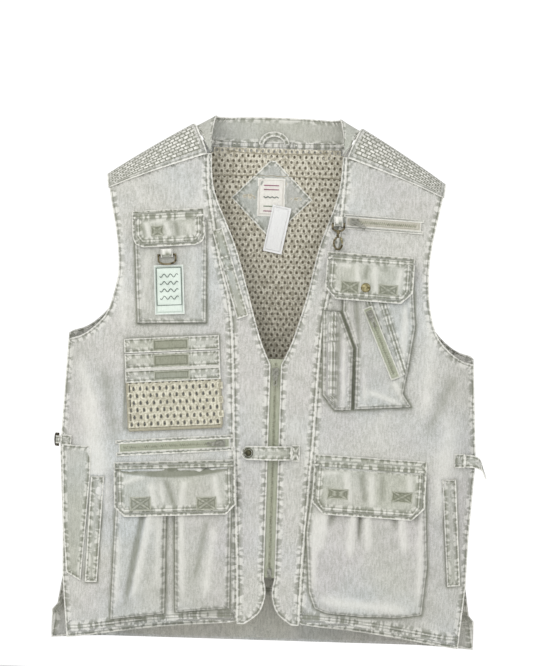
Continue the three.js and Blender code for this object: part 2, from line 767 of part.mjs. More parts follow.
const tools = { place: spot(-142.5, -314, 4.2), half: 67.5, depth: pocketMouth, bottom: -131 };
const toolRows = [['upper', 0, -20.5], ['middle', -21.5, -43.5], ['lower', -44.5, -62.5]];
for (const [word, top, bottom] of toolRows) {
  const { place, half, depth } = tools;
  const start = word === 'lower' ? depth + cloth.gap : panelTop;
  const outer = place.points(rectangle(-half, half, bottom, top));
  const inner = place.points(rectangle(2 - half, half - 2, bottom - 30, top + 30));
  const shape = word === 'lower'
    ? layer(outer, front, start, start + cloth.trim)
    : pocket(outer, inner, front, start, steady(depth));
  add(`tool_pocket_${word}_band`, shape, colours.worn);
}
{
  const { place, half, depth, bottom } = tools;
  const outer = place.points(rectangle(-half, half, bottom, -44.5));
  const inner = place.points(rectangle(2 - half, half - 2, bottom + 2, -30));
  add('mesh_pocket', pocket(outer, inner, front, panelTop, steady(depth)), colours.net);
}
const lapelEdge = [[-90, -160.5], [-50, -286], [-34, -280], [-74.5, -156.5]];
add('lapel_strip', layer(lapelEdge, front, panelTop, trimTop + 1), colours.patch);

// ---------------------------------------------------------------- cargo pockets

const rightCargo = spot(-133, -490, 3.2);
const rightCargoSize = { half: 86, header: 9, drop: 77, corner: 17 };
const rightCargoDepth = deepening(rightCargo, 9, pocketMouth, 0.058);
addHeader('right_cargo_header', rightCargo, rightCargoSize, colours.worn);
addFlap('right_cargo_flap', rightCargo, rightCargoSize, rightCargoDepth, colours.worn);

const leftCargo = spot(146.5, -477, -2.2);
const leftCargoSize = { half: 80, header: 15, drop: 84, corner: 17 };
const leftCargoDepth = deepening(leftCargo, 15, pocketMouth, 0.07);
addHeader('left_cargo_header', leftCargo, leftCargoSize, colours.worn);
addFlap('left_cargo_flap', leftCargo, leftCargoSize, leftCargoDepth, colours.worn);

// An outline moved inwards by a wall on its sides and bottom, and on through its mouth.
function hollowOf(points, mouth) {
  const xs = points.map((p) => p[0]);
  const zs = points.map((p) => p[1]);
  const middle = (Math.min(...xs) + Math.max(...xs)) / 2;
  const width = (Math.max(...xs) - Math.min(...xs)) / 2;
  const [low, high] = [Math.min(...zs), Math.max(...zs)];
  return points.map(([x, z]) => [
    middle + (x - middle) * (1 - cloth.wall / width),
    z > high - mouth ? z + 25 : z + (cloth.wall + 0.5) * (1 - (z - low) / (high - low)),
  ]);
}

const cargoPockets = {
  right_cargo_rear_pocket: [[-214, -505], [-218, -719], [-139, -708], [-142, -501]],
  right_cargo_front_pocket: [[-133, -500.5], [-126, -706], [-47, -698], [-50, -496]],
};
for (const [name, edge] of Object.entries(cargoPockets)) {
  const shape = pocket(edge, hollowOf(edge, 12), front, panelTop, rightCargoDepth);
  add(name, shape, colours.worn);
}
{
  const edge = [
    [67, -491], [57, -585], [63, -671], [72, -694], [90, -701], [140, -704.5], [192, -704],
    [226, -699], [232, -630], [225, -497],
  ];
  const shape = pocket(edge, hollowOf(edge, 12), front, panelTop, leftCargoDepth);
  add('left_cargo_pocket', shape, colours.worn);
}

// ---------------------------------------------------------------- wearer's left chest

const leftChest = spot(138, -188, -2.6);
const leftChestSize = { half: 62.5, header: 9, drop: 67, corner: 16 };
const leftChestDepth = deepening(leftChest, 9, pocketMouth, 0.04);
const leftFlap = addFlap('left_chest_flap', leftChest, leftChestSize, leftChestDepth, colours.worn);
const snap = { u: -5, v: -48, cap: 6.8, thick: 2.2, stud: 3.4 };
{
  const cap = rod(snap.cap, snap.thick, 20);
  const place = new THREE.Group();
  const top = -leftChestSize.header - flapTurn;
  place.position.set(snap.u, -snap.thick / 2 - cloth.gap, snap.v - top);
  leftFlap.add(place);
  add('left_chest_snap_cap', cap, colours.brass, { parent: place, ...metal });
}
{
  const edge = [
    [99, -205], [99, -270], [108, -292], [119.5, -322], [119.5, -410], [203, -404],
    [190, -385], [195, -356], [204.5, -290], [197, -205],
  ];
  const mouth = hollowOf(edge, 12);
  const shape = pocket(edge, mouth, front, panelTop, leftChestDepth);
  add('left_chest_pocket', shape, colours.worn);
  const penEdge = [
    [71, -269], [74, -390], [92, -412], [117.2, -411], [117.2, -322], [105.5, -292], [97, -271],
  ];
  const penInner = [
    [73, -240], [76, -389], [93, -409.5], [115.2, -409], [115.2, -322], [103.5, -292], [95, -240],
  ];
  const penShape = pocket(penEdge, penInner, front, panelTop, leftChestDepth);
  add('pen_pocket', penShape, colours.worn);
}
const slantZip = { spot: spot(155.5, -313, 0), turn: -66.5, from: -54, to: 55 };
const slantLift = (x, z) => leftChestDepth(x, z) + cloth.gap;
addZip('slant_zip', slantZip, slantLift, -43, 0, colours.tape);

// ---------------------------------------------------------------- trigger hook

{
  const place = spot(90, -146, 0);
  const group = onCloth(place, 0, 0, front, steady(panelTop));
  const loopWidth = 13;
  add('hook_tab', ringLoop(loopWidth, 10), colours.cotton, { parent: group });
  const standOff = 4.2; // the swivel stands off the cloth, so that the hook can turn
  const eyeGroup = new THREE.Group();
  eyeGroup.position.set(0, -loopRim - standOff, 0);
  group.add(eyeGroup);
  const bow = dRing(ringWidth(loopWidth, 0.4), 13).translate([0, standOff, 0]);
  const boss = block([-2.4, -1.8, -14.3], [2.4, standOff, -9.4]);
  add('hook_eye', bow.add(boss), colours.bronze, { parent: eyeGroup, ...metal });
  const ellipse = (rx, rz, cz, from, to) => Array.from({ length: 17 }, (_, n) => {
    const a = lerp(from, to, n / 16);
    return [rx * Math.sin(a), cz + rz * Math.cos(a)];
  });
  // An open hook: the gap in its right side is closed by the gate.
  const hookOut = ellipse(7.4, 10, -28.4, radians(100), radians(352));
  const hookIn = ellipse(4.6, 7, -28.4, radians(340), radians(100));
  const hook = slab([...hookOut, ...hookIn], -1.5, 1.5);
  const stem = block([-2, -1.5, -20.5], [1.2, 1.5, -14.6]);
  add('hook_body', hook.add(stem), colours.bronze, { parent: eyeGroup, ...metal });
  const gate = [[5, -28.9], [7.2, -28.4], [5.2, -20.8], [2, -18.4], [1.6, -19.8], [3.4, -21.4]];
  add('hook_gate', slab(gate, -1.2, 1.2), colours.brass, { parent: eyeGroup, ...metal });
}

// ---------------------------------------------------------------- side pockets and straps

const welts = {
  right_welt: [[-251, -516], [-232, -515], [-238, -666], [-255.5, -667]],
  left_welt: [[249.5, -505.5], [269.5, -505], [281, -658], [261.5, -658.5]],
};
for (const [name, edge] of Object.entries(welts)) {
  add(name, layer(edge, front, panelTop, trimTop + 0.6), colours.worn);
}

{
  // The left strap hangs free past the side and twists as it falls.
  const start = strap.to + cloth.gap;
  const near = -(body(start, strap.z) + panelTop + 0.9);
  const route = new THREE.CatmullRomCurve3([
    new THREE.Vector3(start, near, strap.z),
    new THREE.Vector3(start + 14, near - 3, strap.z - 1),
    new THREE.Vector3(start + 25, near, strap.z - 7),
    new THREE.Vector3(start + 28, near - 1, strap.z - 17),
  ]);
  const ribbon = (u, v) => {
    const fall = Math.max(u - 0.2, 0) / 0.8;
    const wide = new THREE.Vector3(-0.5 * fall, -0.3 * fall, 1).normalize();
    return route.getPoint(u).addScaledVector(wide, (v - 0.5) * strap.width);
  };
  add('left_waist_strap', strip(ribbon, 8, 1, 0, -cloth.trim), colours.worn);
}
{
  const bow = new THREE.Vector3(-0.42, 0.9, 0).normalize();
  const bar = new THREE.Vector3(0, 0, 1);
  const up = bow.clone().negate();
  const place = new THREE.Group();
  const basis = new THREE.Matrix4().makeBasis(bar, up.clone().cross(bar), up);
  place.quaternion.setFromRotationMatrix(basis);
  place.position.set(waistRing.x, -waistRing.lift, waistRing.z);
  const ring = dRing(ringWidth(waistRing.loop, waistRing.play), waistRing.drop);
  add('right_waist_ring', ring, colours.bronze, { parent: place, ...metal });
  model.add(place);
}

// ---------------------------------------------------------------- front tab

{
  const reach = tab.anchor[0] - tab.tip;
  const rounding = tab.height / 2;
  const ribbon = (u, v) => {
    const along1 = u * reach;
    const left = reach - along1;
    const narrow = left < rounding ? Math.sqrt(1 - (1 - left / rounding) ** 2) : 1;
    const half = rounding * Math.max(narrow, 0.35);
    const [[x, z]] = tabPlace.points([[tab.anchor[0] - along1, (2 * v - 1) * half]]);
    const over = Math.min(u / tab.flatFrom, 1);
    const rise = tab.seat * over + tab.arch * Math.sin(Math.PI * over) ** 1.2;
    return new THREE.Vector3(x, -(body(x, z) + panelTop + rise), z);
  };
  add('front_tab', strip(ribbon, 18, 2, 0, cloth.trim), colours.worn);
  const lift = panelTop + tab.seat + cloth.trim + cloth.gap;
  const capGroup = onCloth(tabPlace, tab.snap, 0, front, steady(lift));
  const cap = rod(7.2, 2.2, 20).translate(0, -1.1, 0);
  add('front_tab_snap_cap', cap, colours.dark, { parent: capGroup, ...metal });
}

export default model;
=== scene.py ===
"""Fishing vest with cargo pockets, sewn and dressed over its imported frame.

Sizes inside the classes are millimetres on the cloth; meshes are made in metres.
The vest faces -Y, +X is the wearer's left and +Z is up.
"""
from __future__ import annotations

import logging
import math
from dataclasses import dataclass, field
from enum import Enum
from typing import Callable, Sequence

import bmesh
import bpy
import numpy as np
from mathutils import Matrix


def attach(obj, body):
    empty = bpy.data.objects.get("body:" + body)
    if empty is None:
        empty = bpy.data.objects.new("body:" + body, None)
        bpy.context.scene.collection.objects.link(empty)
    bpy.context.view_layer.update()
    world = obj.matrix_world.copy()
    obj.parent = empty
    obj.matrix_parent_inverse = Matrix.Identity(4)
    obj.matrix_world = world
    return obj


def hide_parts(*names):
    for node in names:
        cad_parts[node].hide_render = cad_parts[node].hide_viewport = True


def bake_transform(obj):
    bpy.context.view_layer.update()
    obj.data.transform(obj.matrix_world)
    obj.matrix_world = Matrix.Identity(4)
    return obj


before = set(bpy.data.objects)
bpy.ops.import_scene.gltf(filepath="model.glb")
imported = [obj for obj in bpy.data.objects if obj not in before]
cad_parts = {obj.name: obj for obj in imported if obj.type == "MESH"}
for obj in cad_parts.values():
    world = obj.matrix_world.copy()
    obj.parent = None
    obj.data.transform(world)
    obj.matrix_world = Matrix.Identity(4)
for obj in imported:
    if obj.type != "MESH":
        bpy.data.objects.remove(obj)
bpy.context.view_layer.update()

LOG = logging.getLogger("vest")
MM = 0.001
ROOT = "vest"
Array = np.ndarray
Point = Sequence[float]
Colour = tuple[float, float, float]


class Face(Enum):
    """The side of the body that a piece of cloth lies on."""

    FRONT = -1
    BACK = 1


def srgb(red: float, green: float, blue: float) -> Colour:
    """Turns a display colour of 0 to 255 into linear light.

    Args:
        red: Red part.
        green: Green part.
        blue: Blue part.

    Returns:
        The linear colour.
    """
    def lin(value: float) -> float:
        """Returns one channel as linear light."""
        c = value / 255
        return c / 12.92 if c <= 0.04045 else ((c + 0.055) / 1.055) ** 2.4

    return (lin(red), lin(green), lin(blue))


# ------------------------------------------------------------------ form of the body


@dataclass(frozen=True)
class BodyForm:
    """The surface that all cloth is laid on, as half a thickness over the middle plane."""

    half_width: float = 292.0
    flat_half: float = 210.0
    hem_centre: float = -716.0
    hem_drop: float = 32.0
    shoulder_inner: float = 89.0
    shoulder_tip: float = 244.0
    neck_half: float = 94.0
    neck_z: float = -50.0
    opening_x: float = 7.0
    edge_half: float = 7.5
    v_bottom: float = -349.0

    def side_at(self, z: Array) -> Array:
        """Returns the half width of the side seam at a height."""
        heights = [340.0, 480.0, 590.0, 660.0, 748.0]
        widths = [0.0, 7.0, 0.0, -2.0, 12.0]
        return self.half_width + np.interp(-np.asarray(z, float), heights, widths)

    def depth_at(self, z: Array) -> Array:
        """Returns half the gap between front and back at a height."""
        return np.interp(-np.asarray(z, float), [60.0, 250.0], [26.0, 38.0])

    def shoulder_at(self, x: Array) -> Array:
        """Returns the height of the shoulder line."""
        out = np.maximum(np.abs(x) - self.shoulder_inner, 0)
        return 4.4 - 0.53 * out - 0.00052 * out * out

    def reach(self, x: Array, z: Array) -> Array:
        """Returns the distance from the middle plane to the inside of the cloth.

        Args:
            x: Places across.
            z: Heights.

        Returns:
            The distance, in millimetres.
        """
        seam = self.side_at(z) + 2
        turn = np.clip((np.abs(x) - self.flat_half) / (seam - self.flat_half), 0, 1)
        below = np.clip((self.shoulder_at(x) - z) / 30.0, 0, 1)
        roll = np.sqrt(1 - (1 - below) ** 2)
        return 0.4 + self.depth_at(z) * (1 - turn * turn) * roll

    def near(self, x: float, z: float) -> float:
        """Returns the reach at one place."""
        return float(self.reach(np.array(x), np.array(z)))

    def points(self, x: Array, z: Array, lift: Array, face: Face) -> Array:
        """Returns the points at a lift over the body surface, stacked in the last axis."""
        y = face.value * (self.reach(x, z) + lift)
        return np.stack(np.broadcast_arrays(x, y, z), axis=-1).astype(float)

    def lean(self, z: Array) -> Array:
        """Returns how far the neck opening's middle leans to the wearer's left."""
        return np.interp(-np.asarray(z, float), [100.0, 250.0], [0.0, self.opening_x])

    def hem_at(self, x: Array) -> Array:
        """Returns the height of the front hem."""
        out = np.clip((np.abs(x) - 50) / (self.half_width - 62), 0, 1)
        return self.hem_centre - 3 - (self.hem_drop - 3) * out ** 1.6

    def yoke_seam(self, x: Array) -> Array:
        """Returns the height of the seam under the shoulder yoke."""
        out = np.abs(x) - self.neck_half - 3
        return self.neck_z - 0.33 * out - 0.00028 * out * out


BODY = BodyForm()
PANEL_TOP = 2.7
TRIM_TOP = 4.5
POCKET_MOUTH = 8.7


@dataclass(frozen=True)
class Place:
    """A place on the cloth with its own turned axes."""

    x: float
    z: float
    degrees: float = 0.0

    def on(self, u: Array, v: Array) -> tuple[Array, Array]:
        """Returns the x and z of local places."""
        cos, sin = math.cos(math.radians(self.degrees)), math.sin(math.radians(self.degrees))
        return self.x + u * cos - v * sin, self.z + u * sin + v * cos

    def local(self, x: Array, z: Array) -> tuple[Array, Array]:
        """Returns the local places of x and z."""
        cos, sin = math.cos(math.radians(self.degrees)), math.sin(math.radians(self.degrees))
        return (x - self.x) * cos + (z - self.z) * sin, (z - self.z) * cos - (x - self.x) * sin

    def outline(self, points: Sequence[Point]) -> list[tuple[float, float]]:
        """Returns an outline given in x and z as local places."""
        return [tuple(float(c) for c in self.local(x, z)) for x, z in points]


def spline(points: Sequence[Point], steps: int) -> list[tuple[float, float]]:
    """Runs a smooth curve through points.

    Args:
        points: The points to pass.
        steps: The number of equal steps.

    Returns:
        The points on the curve.
    """
    given = np.array(points, float)
    last = len(given) - 1
    out = []
    for t in np.linspace(0, last, steps + 1):
        i = min(int(t), last - 1)
        w = t - i
        p0, p1, p2, p3 = (given[int(np.clip(i + k, 0, last))] for k in (-1, 0, 1, 2))
        v0, v1 = (p2 - p0) / 2, (p3 - p1) / 2
        spot = ((2 * p1 - 2 * p2 + v0 + v1) * w ** 3
                + (-3 * p1 + 3 * p2 - 2 * v0 - v1) * w ** 2 + v0 * w + p1)
        out.append(tuple(float(c) for c in spot))
    return out


def space_curve(points: Sequence[Point], places: Array) -> Array:
    """Evaluates a centripetal curve through points in space.

    Args:
        points: The points to pass.
        places: Places along it, from 0 to 1.

    Returns:
        One point for each place.
    """
    given = np.array(points, float)
    padded = np.vstack([2 * given[0] - given[1], given, 2 * given[-1] - given[-2]])
    last = len(given) - 1
    out = []
    for place in np.atleast_1d(places):
        t = float(np.clip(place, 0, 1)) * last
        i = min(int(t), last - 1)
        w = t - i
        a, b, c, d = padded[i:i + 4]
        d0, d1, d2 = (max(float(np.linalg.norm(q - p)) ** 0.5, 1e-4)
                      for p, q in ((a, b), (b, c), (c, d)))
        t1 = ((b - a) / d0 - (c - a) / (d0 + d1) + (c - b) / d1) * d1
        t2 = ((c - b) / d1 - (d - b) / (d1 + d2) + (d - c) / d2) * d1
        out.append(b + t1 * w + (-3 * b + 3 * c - 2 * t1 - t2) * w ** 2
                   + (2 * b - 2 * c + t1 + t2) * w ** 3)
    return np.array(out)


def mirrored(points: Sequence[Point]) -> list[tuple[float, float]]:
    """Returns an outline for the other side of the vest."""
    return [(-p[0], p[1]) for p in points]


def rectangle(left: float, right: float, low: float, high: float) -> list[tuple[float, float]]:
    """Returns a rectangle's corners."""
    return [(left, low), (right, low), (right, high), (left, high)]


def wobble(run: Array, period: float, seed: float) -> Array:
    """Returns an uneven wave between about -1 and 1.

    Args:
        run: Distance along the seam.
        period: Mean length of a pucker.
        seed: Number that makes each seam different.

    Returns:
        The wave's height at each place.
    """
    turn = 2 * np.pi * run / period
    first = np.sin(turn + 1.9 * np.sin(turn * 0.31 + seed) + seed)
    second = np.sin(turn * 1.73 + 2.3 * np.sin(turn * 0.21 + 2 * seed))
    return 0.62 * first + 0.38 * second


def smooth(value: Array, low: float, high: float) -> Array:
    """Returns a soft step from 0 at low to 1 at high."""
    t = np.clip((value - low) / (high - low), 0, 1)
    return t * t * (3 - 2 * t)


def off_line(u: Array, v: Array, start: Point, end: Point) -> tuple[Array, Array]:
    """Measures places from a straight line.

    Args:
        u: Local places across.
        v: Local places up.
        start: The line's start.
        end: The line's end.

    Returns:
        The distance from the line, and the place along it, 0 at its start and 1 at its end.
    """
    a, line = np.array(start, float), np.array(end, float) - np.array(start, float)
    along = ((u - a[0]) * line[0] + (v - a[1]) * line[1]) / float(line @ line)
    held = np.clip(along, 0, 1)
    return np.hypot(u - a[0] - held * line[0], v - a[1] - held * line[1]), along


@dataclass(frozen=True)
class Fold:
    """A soft ridge or crease in the cloth, along a line in local places."""

    start: tuple[float, float]
    end: tuple[float, float]
    width: float
    height: float

    def rise(self, u: Array, v: Array) -> Array:
        """Returns the height that the fold adds at each place."""
        away, along = off_line(u, v, self.start, self.end)
        fade = smooth(np.minimum(along, 1 - along) + 0.12, 0, 0.3)
        return self.height * np.exp(-(away / self.width) ** 2) * fade


# ------------------------------------------------------------------ shader graphs


class Graph:
    """Adds nodes to a material or node group and feeds their sockets."""

    def __init__(self, tree: bpy.types.NodeTree) -> None:
        """Keeps the tree that nodes are added to."""
        self.tree = tree

    def feed(self, socket: bpy.types.NodeSocket, value: object) -> None:
        """Links a socket into another, or sets a plain value on it."""
        if isinstance(value, bpy.types.NodeSocket):
            self.tree.links.new(value, socket)
        elif isinstance(value, tuple) and len(value) == 3 and socket.type == "RGBA":
            socket.default_value = (*value, 1.0)
        else:
            socket.default_value = value

    def node(self, kind: str, inputs: dict | None = None, **settings: object) -> bpy.types.Node:
        """Adds a node.

        Args:
            kind: Blender's name of the node type.
            inputs: Values or sockets by input name or number.
            **settings: Properties of the node itself.

        Returns:
            The new node.
        """
        made = self.tree.nodes.new(kind)
        for key, value in settings.items():
            setattr(made, key, value)
        for key, value in (inputs or {}).items():
            self.feed(made.inputs[key], value)
        return made

    def maths(self, operation: str, *values: object, clamp: bool = False) -> object:
        """Returns the result socket of a maths node."""
        made = self.node("ShaderNodeMath", operation=operation, use_clamp=clamp)
        for socket, value in zip(made.inputs, values):
            self.feed(socket, value)
        return made.outputs[0]

    def blend(self, factor: object, first: object, second: object) -> object:
        """Returns the result socket of a colour mix."""
        made = self.node("ShaderNodeMix", data_type="RGBA")
        self.feed(made.inputs[0], factor)
        self.feed(made.inputs[6], first)
        self.feed(made.inputs[7], second)
        return made.outputs[2]

    def span(self, value: object, low: float, high: float, start: float, end: float) -> object:
        """Returns a value mapped from one range to another and held inside it."""
        made = self.node("ShaderNodeMapRange", {0: value, 1: low, 2: high, 3: start, 4: end})
        return made.outputs[0]

    def noise(self, where: object, scale: float, detail: float = 2.0) -> object:
        """Returns the value socket of a noise texture."""
        made = self.node("ShaderNodeTexNoise", {"Vector": where, "Scale": scale, "Detail": detail})
        return made.outputs[0]

    def attribute(self, name: str) -> object:
        """Returns the value socket of a mesh attribute."""
        return self.node("ShaderNodeAttribute", attribute_name=name).outputs["Fac"]


def new_group(name: str, inputs: dict[str, str], outputs: dict[str, str]) -> tuple:
    """Makes an empty node group with named sockets.

    Args:
        name: The group's name.
        inputs: Socket type by input name.
        outputs: Socket type by output name.

    Returns:
        The group, its graph, its input node and its output node.
    """
    tree = bpy.data.node_groups.new(name, "ShaderNodeTree")
    for direction, sockets in (("INPUT", inputs), ("OUTPUT", outputs)):
        for label, kind in sockets.items():
            tree.interface.new_socket(label, in_out=direction, socket_type=f"NodeSocket{kind}")
    graph = Graph(tree)
    return tree, graph, graph.node("NodeGroupInput"), graph.node("NodeGroupOutput")


def cloud_group() -> bpy.types.NodeTree:
    """Makes the uneven tint of washed cotton.

    Returns:
        A group from a base colour to a clouded one.
    """
    tree, graph, given, out = new_group(
        "washed cloud", {"Base": "Color", "Cool": "Color", "Warm": "Color", "Amount": "Float"},
        {"Color": "Color"})
    where = graph.node("ShaderNodeTexCoord").outputs["Object"]
    cool = graph.span(graph.noise(where, 7.0), 0.42, 0.66, 0.0, 1.0)
    moved = graph.node("ShaderNodeMapping", {0: where, 1: (3.1, 1.7, 5.3)}).outputs[0]
    warm = graph.span(graph.noise(moved, 9.0, 3.0), 0.45, 0.68, 0.0, 1.0)
    first = graph.blend(graph.maths("MULTIPLY", cool, given.outputs["Amount"]),
                        given.outputs["Base"], given.outputs["Cool"])
    second = graph.blend(graph.maths("MULTIPLY", warm, given.outputs["Amount"]),
                         first, given.outputs["Warm"])
    graph.feed(out.inputs["Color"], second)
    return tree


def weave_group() -> bpy.types.NodeTree:
    """Makes a fine cotton twill.

    Returns:
        A group from a base colour to a woven one and a height.
    """
    tree, graph, given, out = new_group(
        "cotton weave", {"Base": "Color", "Dark": "Color", "Pitch": "Float", "Grain": "Float"},
        {"Color": "Color", "Height": "Float"})
    where = graph.node("ShaderNodeTexCoord").outputs["Object"]
    parts = graph.node("ShaderNodeSeparateXYZ", {0: where})
    turn = graph.maths("DIVIDE", 6.2832, given.outputs["Pitch"])
    across = graph.maths("SINE", graph.maths("MULTIPLY", parts.outputs[0], turn))
    slope = graph.maths("ADD", parts.outputs[0], parts.outputs[2])
    rib = graph.maths("SINE", graph.maths("MULTIPLY", slope, turn))
    thread = graph.maths("ADD", graph.maths("MULTIPLY", across, 0.35), rib)
    grain = graph.noise(where, 900.0, 1.0)
    slub = graph.noise(graph.node("ShaderNodeMapping", {0: where, 3: (1.0, 1.0, 0.25)}).outputs[0],
                       420.0, 2.0)
    speck = graph.span(graph.maths("ADD", grain, slub), 0.85, 1.2, 0.0, 1.0)
    blotch = graph.span(graph.noise(where, 320.0, 3.0), 0.42, 0.6, 0.0, 1.0)
    worn = graph.maths("ADD", graph.maths("MULTIPLY", speck, 1.0), graph.maths("MULTIPLY", blotch, 0.3))
    graph.feed(out.inputs["Color"], graph.blend(
        graph.maths("MULTIPLY", worn, given.outputs["Grain"]), given.outputs["Base"],
        given.outputs["Dark"]))
    graph.feed(out.inputs["Height"], graph.maths("ADD", graph.maths("MULTIPLY", thread, 0.25), speck))
    return tree


def seam_group() -> bpy.types.NodeTree:
    """Makes the wear and painted shade along sewn edges: a pale worn ridge, sunk stitching with painted
    shade in its row, and puckers with pale crests and painted shade in their hollows.

    Returns:
        A group from a base colour to a worn and shaded one and a height.
    """
    tree, graph, given, out = new_group(
        "seam wear and painted shade",
        {"Base": "Color", "Pale": "Color", "Dark": "Color", "Pucker": "Float", "Reach": "Float",
         "Strength": "Float"},
        {"Color": "Color", "Height": "Float"})
    edge = graph.attribute("edge")
    run = graph.attribute("run")
    rub = graph.attribute("rub")
    uneven = graph.node("ShaderNodeCombineXYZ", {
        0: graph.maths("DIVIDE", run, given.outputs["Pucker"]),
        1: graph.maths("MULTIPLY", edge, 0.09)}).outputs[0]
    gather = graph.noise(uneven, 1.0, 1.0)
    # Puckers: pale crests, partly wear and partly painted light; painted shade in the hollows between them.
    light = graph.span(gather, 0.48, 0.56, 0.0, 1.0)
    deep = graph.span(gather, 0.51, 0.42, 0.0, 1.0)
    band = graph.maths("SUBTRACT", 1.0, graph.maths("DIVIDE", edge, given.outputs["Reach"]), clamp=True)
    band = graph.maths("MULTIPLY", graph.maths("POWER", band, 0.5), given.outputs["Strength"])
    colour = graph.blend(graph.maths("MULTIPLY", light, band), given.outputs["Base"],
                         given.outputs["Pale"])
    colour = graph.blend(graph.maths("MULTIPLY", deep, band), colour, given.outputs["Dark"])
    # Painted shade in the sunk stitching row.
    row = graph.maths("ABSOLUTE", graph.maths("SUBTRACT", edge, 3.0))
    sunk = graph.maths("SUBTRACT", 1.0, graph.maths("DIVIDE", row, 1.1), clamp=True)
    colour = graph.blend(graph.maths("MULTIPLY", sunk, 0.6), colour, given.outputs["Dark"])
    ridge = graph.maths("SUBTRACT", 1.0, graph.maths("DIVIDE", edge, 1.7), clamp=True)
    worn = graph.maths("MULTIPLY", graph.maths("POWER", ridge, 0.5),
                       graph.span(graph.noise(uneven, 0.7, 2.0), 0.3, 0.5, 0.45, 1.0))
    colour = graph.blend(worn, colour, given.outputs["Pale"])
    # Above zero pales the tops of folds, partly wear and partly painted light; below zero is painted shade
    # in creases, on pocket walls and round pockets.
    colour = graph.blend(graph.maths("MULTIPLY", rub, 1.0, clamp=True), colour, given.outputs["Pale"])
    colour = graph.blend(graph.maths("MULTIPLY", rub, -1.0, clamp=True), colour, given.outputs["Dark"])
    graph.feed(out.inputs["Color"], colour)
    height = graph.maths("SUBTRACT", graph.maths("MULTIPLY", ridge, 0.6),
                         graph.maths("MULTIPLY", sunk, 0.7))
    graph.feed(out.inputs["Height"], graph.maths("ADD", height, graph.maths("MULTIPLY", light, band)))
    return tree


GROUPS: dict[str, bpy.types.NodeTree] = {}
MATERIALS: dict[str, bpy.types.Material] = {}


def shared(name: str, make: Callable[[], bpy.types.NodeTree]) -> bpy.types.NodeTree:
    """Returns a node group, made the first time it is asked for."""
    if name not in GROUPS:
        GROUPS[name] = make()
    return GROUPS[name]


@dataclass(frozen=True)
class Finish:
    """A named finish with one material."""

    name: str

    def material(self) -> bpy.types.Material:
        """Returns the finish's material, made the first time it is asked for."""
        if self.name not in MATERIALS:
            made = bpy.data.materials.new(self.name)
            made.use_nodes = True
            MATERIALS[self.name] = made
            self.dress(Graph(made.node_tree), made.node_tree.nodes["Principled BSDF"])
        return MATERIALS[self.name]

    def dress(self, graph: Graph, shader: bpy.types.Node) -> None:
        """Feeds the sockets of the material's shader."""
        raise NotImplementedError


class Pattern(Enum):
    """What is sewn or woven over the ground of a cloth."""

    PLAIN = "plain"
    QUILTED = "quilted"
    RIBBED = "ribbed"


@dataclass(frozen=True)
class Cloth(Finish):
    """A washed cotton finish with worn seams and painted shade in their hollows and creases."""

    base: Colour
    pale: Colour = srgb(240, 239, 231)
    dark: Colour = srgb(122, 125, 108)
    cool: Colour = srgb(203, 210, 214)
    warm: Colour = srgb(208, 203, 203)
    cloud: float = 0.5
    grain: float = 0.35
    pucker: float = 6.0
    reach: float = 9.0
    strength: float = 0.75
    pattern: Pattern = Pattern.PLAIN

    def dress(self, graph: Graph, shader: bpy.types.Node) -> None:
        """Feeds the sockets of the material's shader."""
        ground = graph.node("ShaderNodeGroup", node_tree=shared("cloud", cloud_group))
        for label, value in (("Base", self.base), ("Cool", self.cool), ("Warm", self.warm),
                             ("Amount", self.cloud)):
            graph.feed(ground.inputs[label], value)
        woven = graph.node("ShaderNodeGroup", node_tree=shared("weave", weave_group))
        for label, value in (("Base", ground.outputs[0]), ("Dark", self.dark), ("Pitch", 0.0011),
                             ("Grain", self.grain)):
            graph.feed(woven.inputs[label], value)
        seams = graph.node("ShaderNodeGroup", node_tree=shared("seam", seam_group))
        colour, height = self.patterned(graph, woven.outputs["Color"], woven.outputs["Height"])
        for label, value in (("Base", colour), ("Pale", self.pale), ("Dark", self.dark),
                             ("Pucker", self.pucker), ("Reach", self.reach),
                             ("Strength", self.strength)):
            graph.feed(seams.inputs[label], value)
        graph.feed(shader.inputs["Base Color"], seams.outputs["Color"])
        raised = graph.maths("ADD", graph.maths("MULTIPLY", height, 0.25), seams.outputs["Height"])
        bump = graph.node("ShaderNodeBump", {"Strength": 0.8, "Distance": 0.0013, "Height": raised})
        graph.feed(shader.inputs["Normal"], bump.outputs[0])
        for label, value in (("Roughness", 0.92), ("Specular IOR Level", 0.15), ("Sheen Weight", 0.12)):
            graph.feed(shader.inputs[label], value)

    def patterned(self, graph: Graph, colour: object, height: object) -> tuple[object, object]:
        """Lays the finish's pattern over its ground.

        Args:
            graph: The material's graph.
            colour: The ground's colour.
            height: The ground's height.

        Returns:
            The new colour and height.
        """
        if self.pattern is Pattern.PLAIN:
            return colour, height
        across, along = graph.attribute("across"), graph.attribute("along")
        where = graph.node("ShaderNodeCombineXYZ", {0: across, 1: along}).outputs[0]
        if self.pattern is Pattern.QUILTED:
            bricks = graph.node("ShaderNodeTexBrick", {
                "Vector": where, "Scale": 1.0, "Mortar Size": 1.0, "Mortar Smooth": 0.7,
                "Brick Width": 8.5, "Row Height": 5.2}, offset=0.5)
            bare = bricks.outputs["Fac"]
            patchy = graph.span(graph.noise(where, 0.16, 2.0), 0.35, 0.6, 0.35, 1.0)
            stitched = graph.maths("MULTIPLY", graph.maths("SUBTRACT", 1.0, bare), patchy)
            worn = graph.blend(graph.maths("MULTIPLY", stitched, 0.95), self.dark, self.pale)
            plain = graph.span(graph.attribute("edge"), 5.0, 7.0, 0.0, 0.85)
            return (graph.blend(plain, colour, worn),
                    graph.maths("MULTIPLY", graph.maths("MULTIPLY", stitched, plain), 6.0))
        ribs = graph.maths("SINE", graph.maths("MULTIPLY", across, 5.2))
        lined = graph.span(ribs, -1.0, 1.0, 0.0, 0.35)
        return graph.blend(lined, colour, self.dark), graph.maths("ADD", height, ribs)


